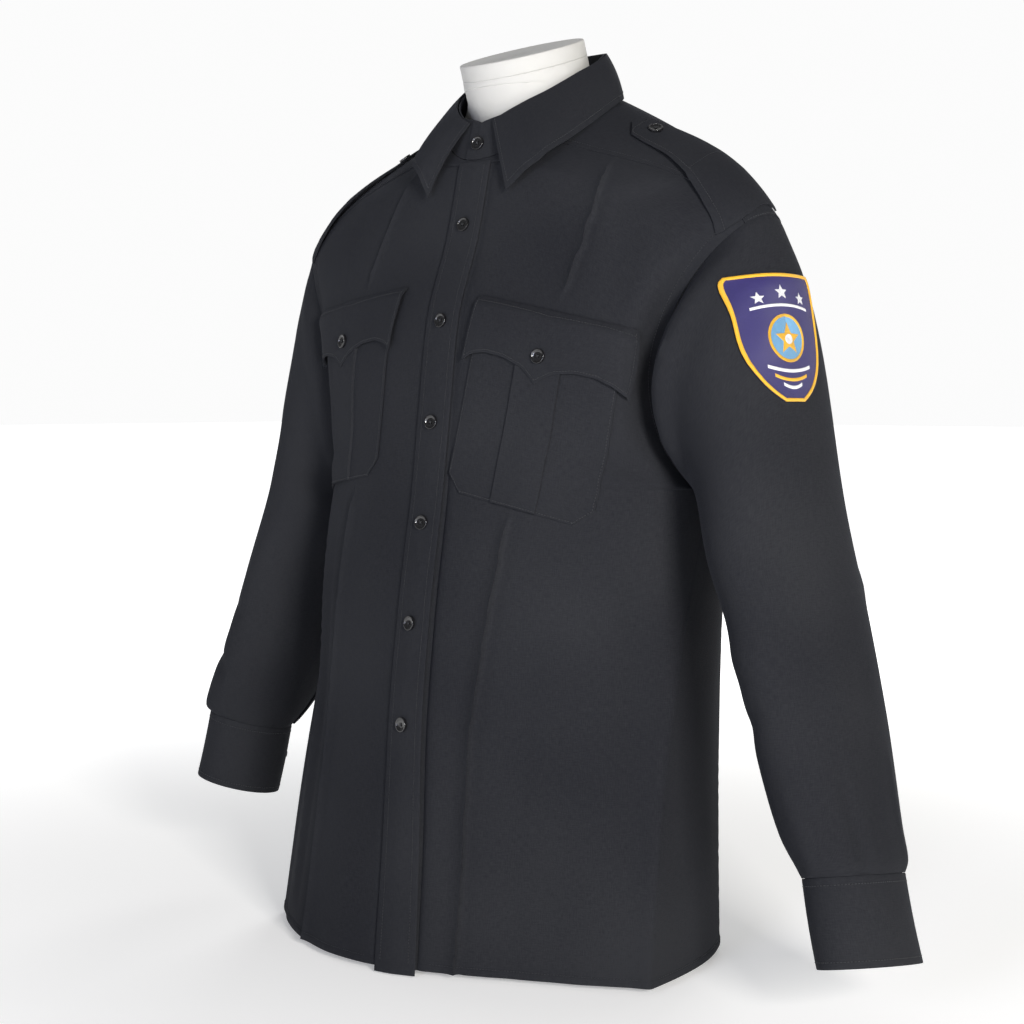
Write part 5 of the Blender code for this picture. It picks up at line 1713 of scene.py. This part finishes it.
def bar_rows(a, b, half, bow, width, lean=0.0):
    """Bar that bows down in its middle by bow."""
    rows = []
    for level in np.linspace(-0.5, 0.5, 5):
        line = []
        for share in np.linspace(-1.0, 1.0, 21):
            drop = bow * (1.0 - share * share) + lean * share
            line.append((a + share * half, b + drop + level * width))
        rows.append(line)
    return rows


def star_rows(a, b, radius):
    """Five-pointed star as rings drawn in from its outline."""
    outline = []
    for k in range(10):
        reach = radius if k % 2 == 0 else radius * 0.45
        angle = math.radians(36.0 * k)
        outline.append((reach * math.sin(angle), -reach * math.cos(angle)))
    outline = np.array(outline + outline[:1])
    fine = []
    for first, second in zip(outline[:-1], outline[1:]):
        fine.extend(first + (second - first) * t for t in (0.0, 0.5))
    fine.append(outline[-1])
    return [[(a + p[0] * level, b + p[1] * level) for p in fine] for level in (0.02, 0.4, 0.7, 0.9, 1.0)]


DOME = 0.55 * MM
LOW = badge_lift + 0.12 * MM
HIGH = badge_lift + 0.55 * MM
shape_piece("badge_disc", disc_rows(0.0, 0.001, 18.5 * MM), LOW, DOME, BLUE_FINISH)
shape_piece("badge_ring", disc_rows(0.0, 0.001, 20.5 * MM, 17.8 * MM), LOW, 0.9 * MM, GOLD_FINISH)
shape_piece("badge_star", star_rows(0.0, 0.002, 14.0 * MM), HIGH, DOME, GOLD_FINISH)
shape_piece("badge_star_heart", disc_rows(0.0, 0.002, 4.2 * MM), HIGH + DOME, 0.4 * MM, WHITE_FINISH)
for number, (a, b, radius) in enumerate(((-22.0, -33.0, 5.6), (0.0, -38.0, 6.6), (22.0, -33.0, 5.6)), 1):
    shape_piece("badge_small_star_%d" % number, star_rows(a * MM, b * MM, radius * MM), LOW, DOME, WHITE_FINISH)
shape_piece("badge_top_bar", bar_rows(0.0, -24.0 * MM, 30.0 * MM, -3.0 * MM, 2.4 * MM), LOW, DOME, WHITE_FINISH)
shape_piece("badge_bar_1", bar_rows(0.0, 24.5 * MM, 25.0 * MM, 4.0 * MM, 2.8 * MM), LOW, DOME, WHITE_FINISH)
shape_piece("badge_bar_2", bar_rows(0.0, 32.0 * MM, 19.0 * MM, 4.0 * MM, 2.8 * MM), LOW, DOME, GOLD_FINISH)
shape_piece("badge_bar_3", bar_rows(0.0, 39.5 * MM, 11.0 * MM, 3.0 * MM, 2.8 * MM), LOW, DOME, WHITE_FINISH)

# %% [markdown]
# Topstitching is what makes a flat seam look sewn. Each stitch is a short
# plump grain of thread that dips into the cloth at both ends. A dashed line
# in the material would be quicker, but it would lie flat and catch no light.
# %% Topstitching
STITCH_PITCH = 2.7 * MM
STITCH_WIDTH = 0.32 * MM
STITCH_RISE = 0.26 * MM

add_stitches("front_stitching", front_left_outer[3, 7:-3], front_left_outer[3, 7:-3] - BODY_MIDDLE)
add_stitches("front_stitching", front_right_outer[3, 7:-3], front_right_outer[3, 7:-3] - BODY_MIDDLE)
add_stitches("back_stitching", back[-4, 3:-3], back[-4, 3:-3] - BODY_MIDDLE)
for half in yoke:
    for row in (1, -2):
        add_stitches("back_stitching", half[row, 1:-2], half[row, 1:-2] - BODY_MIDDLE)
    add_stitches("back_stitching", half[1:-1, -2], half[1:-1, -2] - BODY_MIDDLE)
for grid in (front_left_outer, front_right_outer):
    reach = FRONT_ROWS >= ROW_UNDERARM
    add_stitches("front_stitching", grid[reach, -4][2:], grid[reach, -4][2:] - BODY_MIDDLE)


def walk(points, away, pitch):
    """Starts, ends and directions of stitches spaced along a line."""
    steps = np.linalg.norm(np.diff(points, axis=0), axis=1)
    lengths = np.concatenate(((0.0,), np.cumsum(steps)))
    count = max(2, int(lengths[-1] / pitch))
    at = np.linspace(0.0, lengths[-1], count + 1)
    gap = at[1] - at[0]

    def read(values, places):
        return np.stack([np.interp(places, lengths, values[:, k]) for k in range(3)], axis=1)

    start = read(points, at[:-1] + 0.13 * gap)
    end = read(points, at[:-1] + 0.87 * gap)
    look = unit(read(away, at[:-1] + 0.5 * gap))
    return start, end, look


def stitch_piece(name, rows):
    """All stitches of a group as one piece; each is a grain of ten corners."""
    rings = ((0.0, 0.25, -0.10), (0.22, 0.85, 0.55), (0.5, 1.0, 1.0), (0.78, 0.85, 0.55), (1.0, 0.25, -0.10))
    corners = []
    for points, away in rows:
        start, end, look = walk(points, away, STITCH_PITCH)
        along = unit(end - start)
        look = unit(look - along * np.sum(look * along, axis=1, keepdims=True))
        side = np.cross(look, along)
        one = []
        for share, width, height in rings:
            middle = start + (end - start) * share
            for across, up in ((-1.0, 0.0), (0.0, 1.0), (1.0, 0.0), (0.0, -0.8)):
                one.append(middle + side * across * width * STITCH_WIDTH
                           + look * (height + up * width * 0.6) * STITCH_RISE)
        corners.append(np.stack(one, axis=1))
    corners = np.concatenate(corners)
    count = len(corners)
    pattern = []
    for ring in range(4):
        for k in range(4):
            n = (k + 1) % 4
            pattern.append((4 * ring + k, 4 * ring + n, 4 * ring + 4 + n, 4 * ring + 4 + k))
    pattern.append((3, 2, 1, 0))
    pattern.append((16, 17, 18, 19))
    pattern = np.array(pattern)
    quads = (np.arange(count)[:, None, None] * 20 + pattern).reshape(-1, 4)
    mesh = bpy.data.meshes.new(name)
    mesh.from_pydata(corners.reshape(-1, 3).tolist(), [], quads.tolist())
    layer = mesh.uv_layers.new(name="metres")
    local = np.array([(STITCH_PITCH * ring / 4.0, STITCH_WIDTH * k) for ring in range(5) for k in range(4)])
    maps = np.tile(local[pattern], (count, 1, 1)).reshape(-1, 2)
    layer.data.foreach_set("uv", maps.astype(np.float32).ravel())
    mesh.materials.append(SEWING_FINISH)
    mesh.shade_smooth()
    item = bpy.data.objects.new(name, mesh)
    bpy.context.scene.collection.objects.link(item)
    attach(item, "root")
    return count


for group, rows in stitch_rows.items():
    print("%-20s %5d stitches" % (group, stitch_piece(group, rows)))

# %% [markdown]
# The shirt stands on a moulded torso form in a jersey cover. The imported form
# already has its shape; a copy of its mesh is merged and subdivided so that
# the neck, the one part in sight, is truly round.
# %% Dress form


def smooth_form(node, name):
    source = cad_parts[node]
    mesh = source.data.copy()
    mesh.transform(source.matrix_world)
    item = bpy.data.objects.new(name, mesh)
    bpy.context.scene.collection.objects.link(item)
    bpy.ops.object.select_all(action="DESELECT")
    item.select_set(True)
    bpy.context.view_layer.objects.active = item
    bpy.ops.object.mode_set(mode="EDIT")
    bpy.ops.mesh.select_all(action="SELECT")
    bpy.ops.mesh.remove_doubles(threshold=0.02 * MM)
    bpy.ops.mesh.tris_convert_to_quads()
    bpy.ops.mesh.select_all(action="DESELECT")
    bpy.ops.mesh.edges_select_sharp(sharpness=math.radians(50.0))
    bpy.ops.transform.edge_crease(value=1.0)
    bpy.ops.object.mode_set(mode="OBJECT")
    finer = item.modifiers.new("finer", "SUBSURF")
    finer.levels = 2
    finer.render_levels = 2
    bpy.ops.object.modifier_apply(modifier=finer.name)
    bpy.ops.object.shade_smooth_by_angle(angle=math.radians(50.0))
    item.data.materials.clear()
    item.data.materials.append(FORM_FINISH)
    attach(item, "root")
    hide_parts(node)
    item.select_set(False)
    print(name, "faces:", len(item.data.polygons))


NECK_TILT = math.radians(19.0)
NECK_FOOT = np.array((0.0, 0.0258, 0.816))
NECK_AXIS = np.array((0.0, -math.sin(NECK_TILT), math.cos(NECK_TILT)))
NECK_SIDE = np.array((0.0, math.cos(NECK_TILT), math.sin(NECK_TILT)))
NECK_RADIUS = 60 * MM
NECK_AROUND = 96


def turned_neck(name, node, profile):
    """Round part of the neck from heights and radii along its tilted axis."""
    points = []
    faces = []
    for height, radius in profile:
        for angle in np.linspace(0.0, 2.0 * math.pi, NECK_AROUND, endpoint=False):
            across = math.cos(angle) * radius * np.array((1.0, 0.0, 0.0)) + math.sin(angle) * radius * NECK_SIDE
            points.append(NECK_FOOT + NECK_AXIS * height + across)
    for ring in range(len(profile) - 1):
        for k in range(NECK_AROUND):
            n = (k + 1) % NECK_AROUND
            low = ring * NECK_AROUND
            faces.append((low + k, low + n, low + NECK_AROUND + n, low + NECK_AROUND + k))
    faces.append(tuple(range(NECK_AROUND - 1, -1, -1)))
    faces.append(tuple(range(len(points) - NECK_AROUND, len(points))))
    mesh = bpy.data.meshes.new(name)
    mesh.from_pydata([tuple(point) for point in points], [], faces)
    mesh.materials.append(FORM_FINISH)
    mesh.shade_smooth()
    mesh.set_sharp_from_angle(angle=math.radians(40.0))
    item = bpy.data.objects.new(name, mesh)
    bpy.context.scene.collection.objects.link(item)
    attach(item, "root")
    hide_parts(node)


smooth_form("form_torso", "torso_form")
turned_neck("neck_column", "form_torso", (
    (-45 * MM, NECK_RADIUS - 1 * MM), (-30 * MM, NECK_RADIUS), (-0.6 * MM, NECK_RADIUS),
    (-0.2 * MM, NECK_RADIUS - 0.15 * MM), (0.05 * MM, NECK_RADIUS - 0.5 * MM),
))
turned_neck("neck_cap", "form_neck_cap", (
    (0.1 * MM, NECK_RADIUS - 0.5 * MM), (0.3 * MM, NECK_RADIUS - 0.1 * MM), (0.7 * MM, NECK_RADIUS),
    (13.6 * MM, NECK_RADIUS), (14.4 * MM, NECK_RADIUS - 0.3 * MM), (14.9 * MM, NECK_RADIUS - 1.0 * MM),
    (15.0 * MM, NECK_RADIUS - 2.2 * MM), (14.6 * MM, NECK_RADIUS - 8 * MM), (14.4 * MM, NECK_RADIUS - 30 * MM),
))
